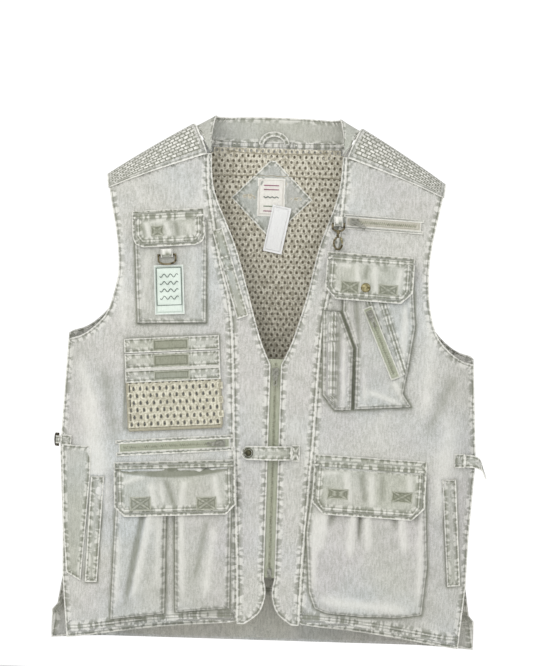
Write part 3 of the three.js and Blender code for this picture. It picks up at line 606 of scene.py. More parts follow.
@dataclass(frozen=True)
class Knit(Finish):
    """An open knitted mesh's yarn."""

    base: Colour = srgb(246, 242, 226)
    shade: Colour = srgb(150, 143, 122)

    def dress(self, graph: Graph, shader: bpy.types.Node) -> None:
        """Feeds the sockets of the material's shader."""
        where = graph.node("ShaderNodeTexCoord").outputs["Object"]
        parts = graph.node("ShaderNodeSeparateXYZ", {0: where})
        loops = graph.maths("SINE", graph.maths("MULTIPLY", parts.outputs[2], 4800.0))
        wale = graph.maths("SINE", graph.maths("MULTIPLY", parts.outputs[0], 3600.0))
        yarn = graph.maths("ADD", loops, graph.maths("MULTIPLY", wale, 0.6))
        uneven = graph.maths("ADD", graph.noise(where, 260.0), graph.maths("MULTIPLY", yarn, 0.06))
        tone = graph.span(uneven, 0.38, 0.62, 0.0, 0.75)
        sunk = graph.attribute("edge")
        colour = graph.blend(tone, self.base, self.shade)
        # Painted shade: the net's sunk cell borders and hole rims are darkened, so the holes read dark.
        colour = graph.blend(graph.span(sunk, 0.0, 1.0, 0.75, 0.0), colour, self.shade)
        graph.feed(shader.inputs["Base Color"], colour)
        bump = graph.node("ShaderNodeBump", {"Strength": 0.5, "Distance": 0.0005, "Height": yarn})
        graph.feed(shader.inputs["Normal"], bump.outputs[0])
        graph.feed(shader.inputs["Roughness"], 0.95)
        graph.feed(shader.inputs["Specular IOR Level"], 0.1)


@dataclass(frozen=True)
class Thread(Finish):
    """A sewing or embroidery thread."""

    base: Colour
    shade: Colour

    def dress(self, graph: Graph, shader: bpy.types.Node) -> None:
        """Feeds the sockets of the material's shader."""
        where = graph.node("ShaderNodeTexCoord").outputs["Object"]
        stitches = graph.span(graph.noise(where, 500.0), 0.4, 0.6, 0.0, 1.0)
        graph.feed(shader.inputs["Base Color"], graph.blend(stitches, self.base, self.shade))
        bump = graph.node("ShaderNodeBump", {"Strength": 0.5, "Distance": 0.0004, "Height": stitches})
        graph.feed(shader.inputs["Normal"], bump.outputs[0])
        graph.feed(shader.inputs["Roughness"], 0.7)


@dataclass(frozen=True)
class Metal(Finish):
    """A plated metal with rubbed high places and dull hollows."""

    base: Colour
    worn: Colour
    roughness: float = 0.38

    def dress(self, graph: Graph, shader: bpy.types.Node) -> None:
        """Feeds the sockets of the material's shader."""
        where = graph.node("ShaderNodeTexCoord").outputs["Object"]
        patches = graph.span(graph.noise(where, 260.0, 3.0), 0.4, 0.62, 0.0, 1.0)
        graph.feed(shader.inputs["Base Color"], graph.blend(patches, self.base, self.worn))
        graph.feed(shader.inputs["Roughness"], graph.span(patches, 0.0, 1.0, self.roughness + 0.14,
                                                          self.roughness))
        scratches = graph.noise(where, 2200.0, 2.0)
        bump = graph.node("ShaderNodeBump", {"Strength": 0.15, "Distance": 0.0002, "Height": scratches})
        graph.feed(shader.inputs["Normal"], bump.outputs[0])
        graph.feed(shader.inputs["Metallic"], 0.85)


COTTON = Cloth("washed cotton", srgb(212, 211, 205), reach=10)
FADED = Cloth("faded cotton", srgb(196, 197, 185), cloud=0.35, reach=8)
POCKET = Cloth("pocket cotton", srgb(200, 200, 193), cloud=0.6, strength=0.6, reach=7)
UNFADED = Cloth("unfaded patch", srgb(158, 160, 143), dark=srgb(112, 115, 96),
                pale=srgb(192, 193, 178), cloud=0.2, reach=3, strength=0.5)
# A dark sheet behind the net lining, standing in for the shade there.
NET_SHADE_SHEET = Cloth("painted shade behind the net", srgb(128, 120, 98), dark=srgb(96, 90, 70), cloud=0.1)
STRIP = Cloth("lapel strip", srgb(166, 169, 151), dark=srgb(138, 140, 122), reach=6)
QUILT = Cloth("quilted yoke", srgb(196, 196, 188), dark=srgb(118, 120, 104), strength=0.5, reach=7,
              pattern=Pattern.QUILTED)
TAPE = Cloth("zip tape", srgb(200, 204, 182), dark=srgb(160, 164, 138), cloud=0.3, strength=0.25,
             reach=3, pattern=Pattern.RIBBED)
CREAM = Cloth("cream tape", srgb(222, 219, 206), dark=srgb(178, 174, 156), cloud=0.2, strength=0.2,
              reach=3, pattern=Pattern.RIBBED)
COLLAR = Cloth("collar cotton", srgb(194, 196, 184), dark=srgb(132, 134, 118), cloud=0.3, reach=9)
MINT = Cloth("badge cloth", srgb(226, 236, 226), dark=srgb(170, 184, 172), pale=srgb(240, 244, 238),
             cloud=0.15, grain=0.15, strength=0.3, reach=3)
WOVEN_LABEL = Cloth("label cloth", srgb(246, 243, 234), dark=srgb(196, 190, 178), cloud=0.1,
                    grain=0.2, strength=0.2, reach=2.5)
CARD = Cloth("tag card", srgb(244, 244, 242), dark=srgb(225, 225, 222), pale=srgb(250, 250, 249),
             cloud=0.1, grain=0.05, strength=0.0, reach=1)
INK = Thread("embroidery thread", srgb(112, 124, 116), srgb(78, 88, 82))
PLUM = Thread("plum thread", srgb(160, 84, 118), srgb(116, 60, 88))
LEAF = Thread("leaf thread", srgb(96, 126, 88), srgb(66, 92, 62))
NET = Knit("lining yarn")
POCKET_NET = Knit("pocket yarn", srgb(240, 237, 218), srgb(160, 155, 134))
SILVER = Metal("worn silver", srgb(138, 138, 130), srgb(92, 92, 84), 0.3)
CHAIN = Metal("zip chain", srgb(150, 152, 132), srgb(196, 197, 178), 0.5)
BRONZE = Metal("aged bronze", srgb(56, 50, 34), srgb(108, 100, 78))
BRASS = Metal("aged brass", srgb(96, 88, 58), srgb(150, 142, 108))
DARK = Metal("dark lacquer", srgb(46, 46, 34), srgb(74, 72, 54), 0.3)


# ------------------------------------------------------------------ meshes


def new_object(name: str, points: Array, faces: list, finish: Finish,
               values: dict[str, Array] | None = None, crease: float = 55.0) -> bpy.types.Object:
    """Makes a mesh object from points in millimetres.

    Args:
        name: The piece's name.
        points: Points, one row each.
        faces: Corner numbers of each face.
        finish: The finish that gives the material.
        values: Number for each point, by attribute name.
        crease: Angle over which an edge is shown sharp, in degrees.

    Returns:
        The new object.
    """
    mesh = bpy.data.meshes.new(name)
    mesh.from_pydata((np.asarray(points, float) * MM).tolist(), [], faces)
    for key, numbers in (values or {}).items():
        made = mesh.attributes.new(key, "FLOAT", "POINT")
        made.data.foreach_set("value", np.asarray(numbers, np.float32).ravel())
    mesh.materials.append(finish.material())
    mesh.shade_smooth()
    mesh.set_sharp_from_angle(angle=math.radians(crease))
    made_object = bpy.data.objects.new(name, mesh)
    bpy.context.collection.objects.link(made_object)
    return made_object


def grid_faces(rows: int, columns: int, start: int, flip: bool) -> list[tuple[int, int, int, int]]:
    """Returns the faces of a grid of points."""
    i, j = np.meshgrid(np.arange(rows - 1), np.arange(columns - 1), indexing="ij")
    a = (i * columns + j + start).ravel()
    quads = np.stack([a, a + columns, a + columns + 1, a + 1], axis=1)
    return [tuple(q) for q in (quads[:, ::-1] if flip else quads).tolist()]


def cloth_object(name: str, outer: Array, inner: Array, finish: Finish,
                 values: dict[str, Array]) -> bpy.types.Object:
    """Makes a closed sheet between two grids of points.

    Args:
        name: The piece's name.
        outer: The seen surface, as rows of points.
        inner: The surface behind it.
        finish: The finish that gives the material.
        values: Grids of numbers by attribute name.

    Returns:
        The new object.
    """
    rows, columns = outer.shape[:2]
    size = rows * columns
    normal = np.cross(outer[1:, :-1] - outer[:-1, :-1], outer[:-1, 1:] - outer[:-1, :-1])
    flip = float(np.sum(normal * (outer - inner)[:-1, :-1])) < 0
    faces = grid_faces(rows, columns, 0, flip) + grid_faces(rows, columns, size, not flip)
    at = np.arange(size).reshape(rows, columns)
    rim = np.concatenate([at[0, :-1], at[:-1, -1], at[-1, :0:-1], at[:0:-1, 0]])
    nxt = np.roll(rim, -1)
    sides = np.stack([rim, nxt, nxt + size, rim + size], axis=1)
    faces += [tuple(q) for q in (sides[:, ::-1] if flip else sides).tolist()]
    points = np.concatenate([outer.reshape(-1, 3), inner.reshape(-1, 3)])
    doubled = {key: np.concatenate([grid.ravel(), grid.ravel()]) for key, grid in values.items()}
    return new_object(name, points, faces, finish, doubled)


def skin(name: str, rings: Array, finish: Finish, flip: bool) -> bpy.types.Object:
    """Makes a closed skin over a stack of rings of points.

    Args:
        name: The piece's name.
        rings: One ring of points for each level.
        finish: The finish that gives the material.
        flip: Turns the faces about, for rings that run the other way round.

    Returns:
        The new object.
    """
    levels, sides = rings.shape[:2]
    faces = []
    for base in range(0, (levels - 1) * sides, sides):
        for n in range(sides):
            m = (n + 1) % sides
            faces.append((base + n, base + m, base + sides + m, base + sides + n))
    faces.append(tuple(range(sides))[::-1])
    faces.append(tuple(range((levels - 1) * sides, levels * sides)))
    if flip:
        faces = [face[::-1] for face in faces]
    return new_object(name, rings.reshape(-1, 3), faces, finish)


def lathe(name: str, profile: Sequence[Point], centre: Array, axis: Array, finish: Finish,
          sides: int = 32) -> bpy.types.Object:
    """Turns a profile of radius and height about an axis.

    Args:
        name: The piece's name.
        profile: Radius and height, from the axis round to the axis.
        centre: The foot of the axis.
        axis: The axis's direction.
        finish: The finish that gives the material.
        sides: Number of sides.

    Returns:
        The new object.
    """
    axis = np.asarray(axis, float) / np.linalg.norm(axis)
    side = np.cross(axis, (0.0, 0.0, 1.0))
    side /= np.linalg.norm(side)
    other = np.cross(axis, side)
    angle = np.linspace(0, 2 * np.pi, sides, endpoint=False)
    round_axis = np.outer(np.cos(angle), side) + np.outer(np.sin(angle), other)
    rings = np.array([np.asarray(centre) + axis * h + r * round_axis for r, h in profile])
    return skin(name, rings, finish, False)


def tube(name: str, path: Array, radius: float, finish: Finish, sides: int = 8) -> bpy.types.Object:
    """Makes a round thread or rod along a path.

    Args:
        name: The piece's name.
        path: Points along the middle.
        radius: Radius of the tube.
        finish: The finish that gives the material.
        sides: Number of sides.

    Returns:
        The new object.
    """
    path = np.asarray(path, float)
    ahead = np.gradient(path, axis=0)
    ahead /= np.linalg.norm(ahead, axis=1)[:, None]
    hint = np.array([0.13, 1.0, 0.21])
    side = np.cross(ahead, hint)
    side /= np.linalg.norm(side, axis=1)[:, None]
    other = np.cross(ahead, side)
    angle = np.linspace(0, 2 * np.pi, sides, endpoint=False)
    rings = (path[:, None, :] + radius * (np.cos(angle)[None, :, None] * side[:, None, :]
                                          + np.sin(angle)[None, :, None] * other[:, None, :]))
    return skin(name, rings, finish, True)


def boxes(name: str, centres: Array, axes: Array, size: Point, finish: Finish) -> bpy.types.Object:
    """Makes many small chamfered blocks as one mesh.

    Args:
        name: The piece's name.
        centres: One centre for each block.
        axes: Three unit axes, one row each.
        size: Full size along each axis.
        finish: The finish that gives the material.

    Returns:
        The new object.
    """
    corner = []
    for end, shrink in ((-0.5, 1.0), (0.2, 1.0), (0.5, 0.62)):
        corner += [(a * shrink, end, c * shrink) for a, c in rectangle(-0.5, 0.5, -0.5, 0.5)]
    shape = (np.array(corner) * np.array(size)) @ np.asarray(axes)
    faces = [(0, 1, 2, 3), (11, 10, 9, 8)]
    for level in (0, 4):
        faces += [(level + n, level + 4 + n, level + 4 + (n + 1) % 4, level + (n + 1) % 4)
                  for n in range(4)]
    points = (np.asarray(centres)[:, None, :] + shape[None]).reshape(-1, 3)
    every = [tuple(12 * k + n for n in f) for k in range(len(centres)) for f in faces]
    return new_object(name, points, every, finish, crease=30.0)


def unworn_unshaded(edge: Array, run: Array, across: Array, along: Array) -> dict[str, Array]:
    """Returns the grids that a cloth finish reads, with no rubbed places and no painted shade."""
    return {"edge": edge, "run": run, "rub": 0 * edge, "across": across, "along": along}


def spacing(length: float, step: float) -> Array:
    """Returns places from 0 to 1 that lie closer near both ends."""
    ends = np.array([0.0, 0.5, 1.1, 1.8, 2.6, 3.6])
    ends = ends[ends < length * 0.3]
    inner = np.linspace(ends[-1] + step, length - ends[-1] - step,
                        max(int((length - 2 * ends[-1] - 2 * step) / step), 2))
    return np.concatenate([ends, inner, (length - ends)[::-1]]) / length


def filled(outline: Sequence[Point], step: float) -> tuple[Array, Array]:
    """Fills an outline with a grid of places, row by row.

    Args:
        outline: The corners, in order.
        step: Distance between places.

    Returns:
        The grids of the two local coordinates.
    """
    points = np.array(outline, float)
    following = np.roll(points, -1, axis=0)
    low, high = points[:, 1].min(), points[:, 1].max()
    heights = low + (high - low) * spacing(high - low, step)
    heights[0], heights[-1] = low + 0.02, high - 0.02
    lefts, rights = [], []
    for height in heights:
        crossing = (points[:, 1] > height) != (following[:, 1] > height)
        a, b = points[crossing], following[crossing]
        xs = a[:, 0] + (height - a[:, 1]) * (b[:, 0] - a[:, 0]) / (b[:, 1] - a[:, 1])
        lefts.append(xs.min())
        rights.append(xs.max())
    width = max(r - left for left, r in zip(lefts, rights))
    across = spacing(width, step)
    u = np.array(lefts)[:, None] + (np.array(rights) - np.array(lefts))[:, None] * across[None]
    return u, np.repeat(heights[:, None], len(across), axis=1)


def measured(u: Array, v: Array, outline: Sequence[Point], seams: Sequence[Sequence[Point]],
             skip: Sequence[int] = ()) -> tuple[Array, Array]:
    """Measures each place from the nearest sewn line.

    Args:
        u: Local places across.
        v: Local places up.
        outline: The piece's edge.
        seams: Further sewn lines.
        skip: Sides of the outline that aren't sewn.

    Returns:
        The distance from the nearest line, and the distance along it.
    """
    edge = np.full(u.shape, 1e3)
    run = np.zeros(u.shape)
    length = 0.0
    loops = [(list(outline), len(outline)), *((list(line), len(line) - 1) for line in seams)]
    for number, (line, count) in enumerate(loops):
        for n in range(count):
            start, end = line[n], line[(n + 1) % len(line)]
            size = math.dist(start, end)
            if size < 1e-6 or (number == 0 and n in skip):
                continue
            away, along = off_line(u, v, start, end)
            near = away < edge
            edge = np.where(near, away, edge)
            run = np.where(near, length + np.clip(along, 0, 1) * size, run)
            length += size
    return edge, run


@dataclass
class Sewn:
    """A flat piece of cloth cut to an outline and sewn down along its edge."""

    name: str
    outline: Sequence[Point]
    finish: Finish
    lift: Callable[[Array, Array, Array, Array, Array], Array]
    nodes: tuple[str, ...] = ()
    place: Place = Place(0.0, 0.0)
    seams: Sequence[Sequence[Point]] = ()
    skip: tuple[int, ...] = ()
    folds: Sequence[Fold] = ()
    thick: float = 1.6
    step: float = 2.4
    gather: float = 0.45
    period: float = 7.0
    reach: float = 8.0
    face: Face = Face.FRONT
    rides: str = ROOT
    seed: float = 0.0
    slot: str = "faded_cotton"
    declared: bool = True
    # Outlines of pockets sewn over the piece, round which painted shade is laid.
    under: Sequence[Sequence[Point]] = ()
    calm: bool = False
    crown: float = 0.0
    shaded: Callable[[Array, Array], Array] | None = None

    def relief(self, u: Array, v: Array) -> tuple[Array, Array, Array, Array]:
        """Finds the cloth's surface at local places.

        Args:
            u: Local places across.
            v: Local places up.

        Returns:
            Its lift, its distance from a sewn line, the distance along it, and its wear and painted shade.
        """
        edge, run = measured(u, v, self.outline, self.seams, self.skip)
        x, z = self.place.on(u, v)
        seed = self.seed or float(sum(map(ord, self.name)) % 97)
        if self.calm:
            return self.lift(x, z, u, v, edge), edge, run, 0 * u
        wear = np.abs(edge - self.crown) if self.crown else edge
        band = np.clip(1 - wear / self.reach, 0, 1)
        rise = self.gather * wobble(run, self.period, seed) * band
        rise = rise + 0.6 * np.exp(-(wear / 1.2) ** 2) - 0.6 * np.exp(-((wear - 3) / 1.0) ** 2)
        folded = sum((fold.rise(u, v) for fold in self.folds), np.zeros_like(u))
        away = smooth(edge, 0, 7)
        ripple = 0.5 * wobble(x * 0.7 + z * 0.9, 61, seed) + 0.4 * wobble(z - x * 0.4, 43, seed + 1)
        lift = self.lift(x, z, u, v, edge) + rise + (folded + ripple) * away
        # Fold and ripple tops are paled, partly wear and partly painted light; their creases get painted
        # shade.
        rub = np.clip((folded * 0.22 + ripple * 0.12) * away, -0.6, 0.45)
        # Painted shade on the pocket's side wall, inside the crown.
        if self.crown:
            rub = np.where(edge < self.crown - 0.9, -0.7, rub)
        # Painted shade in a dark halo round each pocket sewn over the piece.
        for pocket in self.under:
            rub = rub - 0.75 * np.exp(-(measured(u, v, pocket, ())[0] / 2.2) ** 2)
        # Painted shade given by the piece, such as the shadow under a flap's header.
        if self.shaded is not None:
            rub = rub + self.shaded(u, v)
        return lift, wear, run, rub

    def build(self) -> bpy.types.Object:
        """Makes the piece.

        Returns:
            The object, riding on its body.
        """
        u, v = filled(self.outline, self.step)
        x, z = self.place.on(u, v)
        lift, edge, run, rub = self.relief(u, v)
        outer_edge = measured(u, v, self.outline, (), self.skip)[0]
        edge = np.where(edge < outer_edge - 0.1, edge + 0.9, edge)
        outer = BODY.points(x, z, lift, self.face)
        inner = BODY.points(x, z, lift - self.thick, self.face)
        values = {"edge": edge, "run": run, "rub": rub, "across": u, "along": v}
        made = cloth_object(self.name, outer, inner, self.finish, values)
        finish_piece(made, self.rides, self.slot, self.nodes)
        if self.declared:
            declare_sheet(u, v)
        return made


def finish_piece(piece: bpy.types.Object, rides: str, slot: str, nodes: Sequence[str] = ()) -> None:
    """Puts a piece on its body and hides the frame's parts that it stands for."""
    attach(piece, rides)
    if nodes:
        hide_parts(*nodes)
    LOG.info("made %s on %s", piece.name, rides)


def declare_sheet(u: Array, v: Array) -> None:
    """Measures the size that a piece was cut to; nothing is done with it.

    Args:
        u: Local places across.
        v: Local places up.
    """
    width, length = float(np.ptp(u)), float(np.ptp(v))


def steady(value: float) -> Callable[..., Array]:
    """Returns a lift that is the same everywhere."""
    return lambda x, z, u, v, edge: value + 0 * x


@dataclass(frozen=True)
class Stance:
    """An origin on the cloth with axes across, inward and up."""

    origin: Array
    across: Array
    inward: Array
    up: Array

    def at(self, u: Array, out: Array, w: Array) -> Array:
        """Returns the points at local places, where out is the distance away from the cloth."""
        u, out, w = np.broadcast_arrays(*(np.asarray(c, float) for c in (u, out, w)))
        return (self.origin + u[..., None] * self.across - out[..., None] * self.inward
                + w[..., None] * self.up)


def stand(place: Place, u: float, v: float, lift: Callable[[float, float], float], turn: float = 0.0,
          face: Face = Face.FRONT) -> Stance:
    """Finds the axes of a flat thing lying on the cloth.

    Args:
        place: The place on the cloth.
        u: Local place across.
        v: Local place up.
        lift: Lift of the surface it lies on.
        turn: Further turn, in degrees.
        face: Side of the body.

    Returns:
        Its origin and axes.
    """
    x, z = place.on(u, v)

    def surface(px: float, pz: float) -> float:
        """Returns the surface's y."""
        return face.value * (BODY.near(px, pz) + float(lift(px, pz)))

    def ahead(angle: float) -> Array:
        """Returns the surface's direction at an angle."""
        dx, dz = math.cos(angle), math.sin(angle)
        step = np.array([dx, surface(x + dx, z + dz) - surface(x, z), dz])
        return step / np.linalg.norm(step)

    angle = math.radians(place.degrees + turn)
    across = ahead(angle)
    inward = np.cross(ahead(angle + math.pi / 2), across)
    inward /= np.linalg.norm(inward)
    return Stance(np.array([x, surface(x, z), z]), across, inward, np.cross(across, inward))


# ------------------------------------------------------------------ the shell of the vest


def armhole_edge(z: float, rise: float) -> list[tuple[float, float]]:
    """Returns the armhole's edge from the shoulder down to the side seam."""
    out, tip, inner = BODY.half_width, BODY.shoulder_tip - 4, 221.0
    return spline([
        (tip, float(BODY.yoke_seam(tip)) + 6), (tip + (inner - tip) * 0.35, -130), (inner + 4, -172),
        (inner, -215), (inner + 3, z + 78 + rise / 2), (out - 56, z + 38 + rise),
        (out - 34, z + 14 + rise), (out - 15, z + 3 + rise), (out, z + rise)], 30)


SEAM_LINE = [(-50, 99), (-105, 96), (-203, 82), (-290, 65), (-460, 56), (-640, 46), (-716, 44)]
V_LINE = [(-50, 94), (-105, 88), (-180, 60), (-250, 41.5), (-313, 23), (-349, 7.5)]
ARMPITS = {-1: -320.0, 1: -340.0}


def line_down(line: Sequence[Point], bottom: float, side: int) -> list[tuple[float, float]]:
    """Returns a leaning line from the neck down to a height, on the wearer's left."""
    steps = [p for p in spline([(half, z) for z, half in line], 30) if p[1] > bottom]
    return [(half + side * float(BODY.lean(z)), z) for half, z in steps]


def front_outline(side: int) -> list[tuple[float, float]]:
    """Returns the outline of a front panel, without its band."""
    seam = line_down(SEAM_LINE, float(BODY.hem_at(60)), side)
    hem = [(x, float(BODY.hem_at(x))) for x in np.linspace(60, BODY.half_width - 12, 8)]
    edge = [(float(BODY.side_at(z)), z) for z in (-660, -590, -480)]
    top = [(x, float(BODY.yoke_seam(x)) + 6) for x in (200, 160, 125)]
    whole = [*seam, *hem, *edge, *armhole_edge(ARMPITS[side], 0)[::-1], *top]
    return mirrored(whole) if side < 0 else whole


def band_outline(side: int) -> list[tuple[float, float]]:
    """Returns the outline of the band along the neck and front edge."""
    edge = line_down(V_LINE, BODY.v_bottom - 1, side)
    start, bottom = BODY.edge_half, BODY.hem_centre
    corner = spline([(start, bottom + 62), (start - 3, bottom + 40), (start + 5, bottom + 14),
                     (start + 26, bottom - 3)], 10)
    lean = side * BODY.opening_x
    low = [(x + lean, z) for x, z in [*corner, (44, float(BODY.hem_at(50)))]]
    whole = [*edge, *low, *line_down(SEAM_LINE, float(BODY.hem_at(50)) + 2, side)[::-1]]
    return mirrored(whole) if side < 0 else whole


def back_outline(rise: float = 11.0, grow: float = 4.0) -> list[tuple[float, float]]:
    """Returns the outline of the back."""
    def half(side: int) -> list[tuple[float, float]]:
        """Returns one side of it, from the neck to the hem."""
        arm = armhole_edge(ARMPITS[side], rise)
        edge = [(float(BODY.side_at(z)), z) for z in (-480, -590, -660, -748)]
        hem = [(x, float(BODY.hem_at(x)) - grow) for x in (304, 228, 152, 76)]
        top = [(92, -30), (108, -26), (118, float(BODY.yoke_seam(118)) + 14)]
        top += [(x, float(BODY.yoke_seam(x)) + 6) for x in (140, 170, 200)]
        return [(side * x, z) for x, z in [*top, *arm, *edge, *hem]]

    neck = [(56, -31.6), (-56, -31.6)]
    return [neck[0], *half(1), (0, float(BODY.hem_at(0)) - grow), *half(-1)[::-1], neck[1]]


POCKET_EDGES = {
    -1: (
        [(-192, -297), (-93, -293), (-97, -145.5), (-201.5, -149)],
        [(-214, -505), (-218, -719), (-139, -708), (-142, -501)],
        [(-133, -500.5), (-126, -706), (-47, -698), (-50, -496)],
        [(-205, -447), (-208, -319), (-75, -309), (-72, -440)],
        [(-251, -516), (-232, -515), (-238, -666), (-255.5, -667)],
    ),
    1: (
        [(67, -491), (57, -585), (63, -671), (72, -694), (90, -701), (140, -704.5), (192, -704),
         (226, -699), (232, -630), (225, -497)],
        [(99, -205), (99, -270), (108, -292), (119.5, -322), (119.5, -410), (203, -404), (190, -385),
         (195, -356), (204.5, -290), (197, -205)],
        [(71, -269), (74, -390), (92, -412), (117.2, -411), (117.2, -322), (105.5, -292), (97, -271)],
        [(249.5, -505.5), (269.5, -505), (281, -658), (261.5, -658.5)],
    ),
}


@dataclass
class Shell:
    """Front panels, bands, back, rear pouch, side patch and lower lining."""

    panel_lift: float = 2.4
    back_lift: float = 3.9
    pouch_lift: float = 17.2
    pouch_half: float = 280.0
    pouch_low: float = -667.0
    pouch_top: float = -473.0
    folds: dict[int, tuple[Fold, ...]] = field(default_factory=lambda: {
        -1: (Fold((-262, -400), (-232, -560), 15, 2.2), Fold((-238, -360), (-216, -470), 9, -1.6),
             Fold((-100, -300), (-60, -420), 9, 1.2), Fold((-60, -520), (-52, -690), 7, 1.4),
             Fold((-228, -150), (-210, -300), 10, 1.6), Fold((-274, -350), (-250, -420), 8, 1.6),
             Fold((-110, -90), (-92, -200), 8, 1.0)),
        1: (Fold((262, -420), (246, -560), 14, 2.0), Fold((232, -250), (222, -420), 10, 1.6),
            Fold((262, -360), (224, -440), 8, -1.6), Fold((60, -440), (64, -590), 8, 1.2),
            Fold((110, -90), (96, -130), 8, 1.0), Fold((216, -330), (150, -440), 7, 1.0)),
    })

    def build(self) -> None:
        """Makes every piece of the shell."""
        for side, word in ((-1, "right"), (1, "left")):
            hem = [(side * x, float(BODY.hem_at(x)) + 13) for x in np.linspace(44, 292, 9)]
            Sewn(f"{word}_front", front_outline(side), COTTON, steady(self.panel_lift),
                 (f"{word}_front_panel",), folds=self.folds[side], thick=2.0, step=3.0, reach=11,
                 gather=0.7, seams=(hem,), under=POCKET_EDGES[side], slot="cotton").build()
            Sewn(f"{word}_band", band_outline(side), COTTON, steady(self.panel_lift),
                 (f"{word}_front_band",), thick=2.0, step=2.0, gather=0.6, slot="cotton").build()
        Sewn("back_cloth", back_outline(), COTTON, steady(self.back_lift), ("back_panel",),
             seams=([(0, -60), (0, -716)],), face=Face.BACK, thick=2.0, step=4.0, gather=0.6, slot="cotton",
             folds=(Fold((-150, -130), (-60, -420), 15, 1.3), Fold((150, -130), (70, -420), 15, 1.3),
                    Fold((-230, -330), (-120, -450), 12, 1.1),
                    Fold((230, -330), (130, -450), 12, 1.1))).build()
        half, hem = self.pouch_half, self.pouch_top - 14
        Sewn("rear_pouch_cloth", rectangle(-half, half, self.pouch_low, self.pouch_top), FADED,
             self.pouch, ("rear_pouch",), seams=([(-half, hem), (half, hem)],), skip=(2,),
             face=Face.BACK, step=3.2, thick=1.8,
             folds=(Fold((-120, -490), (-130, -650), 12, 1.6), Fold((60, -490), (70, -650), 14, 1.6),
                    Fold((190, -500), (160, -640), 12, -1.4))).build()
        edge = [(-296, -473), (-253, -473), (-252.5, -515), (-262, -666), (-284, -656), (-291, -590)]
        Sewn("side_patch", edge, FADED, steady(TRIM_TOP), ("right_side_patch",), step=2.0).build()
        lower = [(x, z) for x, z in back_outline(grow=-40) if z < -420]
        lower = [(290, -421), *[p for p in lower if p[0] > 0],
                 *[p for p in lower if p[0] <= 0], (-290, -421)]
        Sewn("lining_lower", lower, Cloth("lower lining", srgb(244, 241, 228), pattern=Pattern.RIBBED),
             steady(1.2), face=Face.BACK, thick=0.9, step=8.0, gather=0.1, slot="net").build()

    def pouch(self, x: Array, z: Array, u: Array, v: Array, edge: Array) -> Array:
        """Returns the lift of the rear pouch: sewn down at its sides and bottom, open on top."""
        wall = np.minimum(self.pouch_half - np.abs(u), v - self.pouch_low)
        slack = 1 - 0.25 * np.exp(-((z - self.pouch_top) / 30) ** 2)
        sewn_at = self.back_lift + 0.6
        return sewn_at + (self.pouch_lift - sewn_at) * slack * smooth(wall, -1, 9)


@dataclass
class Net:
    """Knitted mesh with real slit holes, made of staggered cells."""

    name: str
    nodes: tuple[str, ...]
    bounds: tuple[float, float, float, float]
    pitch: tuple[float, float]
    hole: tuple[float, float]
    lift: float
    finish: Knit
    thick: float = 0.9
    place: Place = Place(0.0, 0.0)
    face: Face = Face.BACK
    inside: Callable[[float, float], bool] = lambda u, v: True

    def build(self) -> bpy.types.Object:
        """Makes the mesh cloth.

        Returns:
            The object, riding on the vest.
        """
        left, right, low, high = self.bounds
        a, b = self.pitch
        rim = np.array([(-.5, -.5), (0, -.5), (.5, -.5), (.5, 0), (.5, .5), (0, .5), (-.5, .5), (-.5, 0)])
        angle = np.radians([225, 270, 315, 0, 45, 90, 135, 180])
        slit = np.stack([np.cos(angle) * self.hole[0] / 2, np.sin(angle) * self.hole[1] / 2], 1)
        slit[4:7, 0] *= 0.55
        cells = []
        for row in range(int(round((high - low) / b))):
            shift = (row % 2) * a / 2
            for column in range(int(round((right - left) / a)) + 1):
                centre = (left + column * a + shift, low + (row + 0.5) * b)
                if centre[0] < right + a / 2 and self.inside(*centre):
                    cells.append(centre)
        centres = np.array(cells)
        jitter = np.stack([wobble(centres[:, 0] + 3 * centres[:, 1], 11, 1),
                           wobble(centres[:, 1] - 2 * centres[:, 0], 13, 2)], 1) * 0.25
        outer = centres[:, None] + rim[None] * np.array([a, b])
        inner = centres[:, None] + slit[None] + jitter[:, None]
        middle = outer * 0.45 + inner * 0.55
        rings = np.concatenate([outer, middle, inner], axis=1)
        heights = np.repeat([[-0.15, 0.45, -0.35]], 8, axis=0).T.ravel()
        count = rings.shape[1]
        x, z = self.place.on(rings[..., 0], rings[..., 1])
        front = BODY.points(x, z, self.lift + heights[None] * np.ones_like(x), self.face)
        behind = BODY.points(x, z, self.lift - self.thick + 0 * x, self.face)
        faces = []
        flip = self.face is Face.BACK
        for k in range(len(centres)):
            base = k * count * 2
            for n in range(8):
                m = (n + 1) % 8
                for ring in (0, 8):
                    quad = (base + ring + n, base + ring + m, base + ring + 8 + m, base + ring + 8 + n)
                    rear = tuple(q + count for q in quad)[::-1]
                    faces += [quad[::-1], rear[::-1]] if flip else [quad, rear]
                wall = (base + 16 + n, base + 16 + m, base + 16 + count + m, base + 16 + count + n)
                faces.append(wall[::-1] if flip else wall)
        points = np.stack([front, behind], axis=1).reshape(-1, 3)
        # Painted shade: each ring's value, where 1 keeps the raised yarn clear and lower values darken the
        # sunk cell border and, most, each hole's rim.
        sunk = np.tile(np.repeat([0.45, 1.0, 0.15], 8), len(centres) * 2)
        made = new_object(self.name, points, faces, self.finish, {"edge": sunk}, 80.0)
        weld(made)
        finish_piece(made, ROOT, "net", self.nodes)
        return made


def weld(piece: bpy.types.Object) -> None:
    """Joins points of a mesh that lie on each other."""
    mesh = bmesh.new()
    mesh.from_mesh(piece.data)
    bmesh.ops.remove_doubles(mesh, verts=mesh.verts, dist=0.00002)
    mesh.to_mesh(piece.data)
    mesh.free()


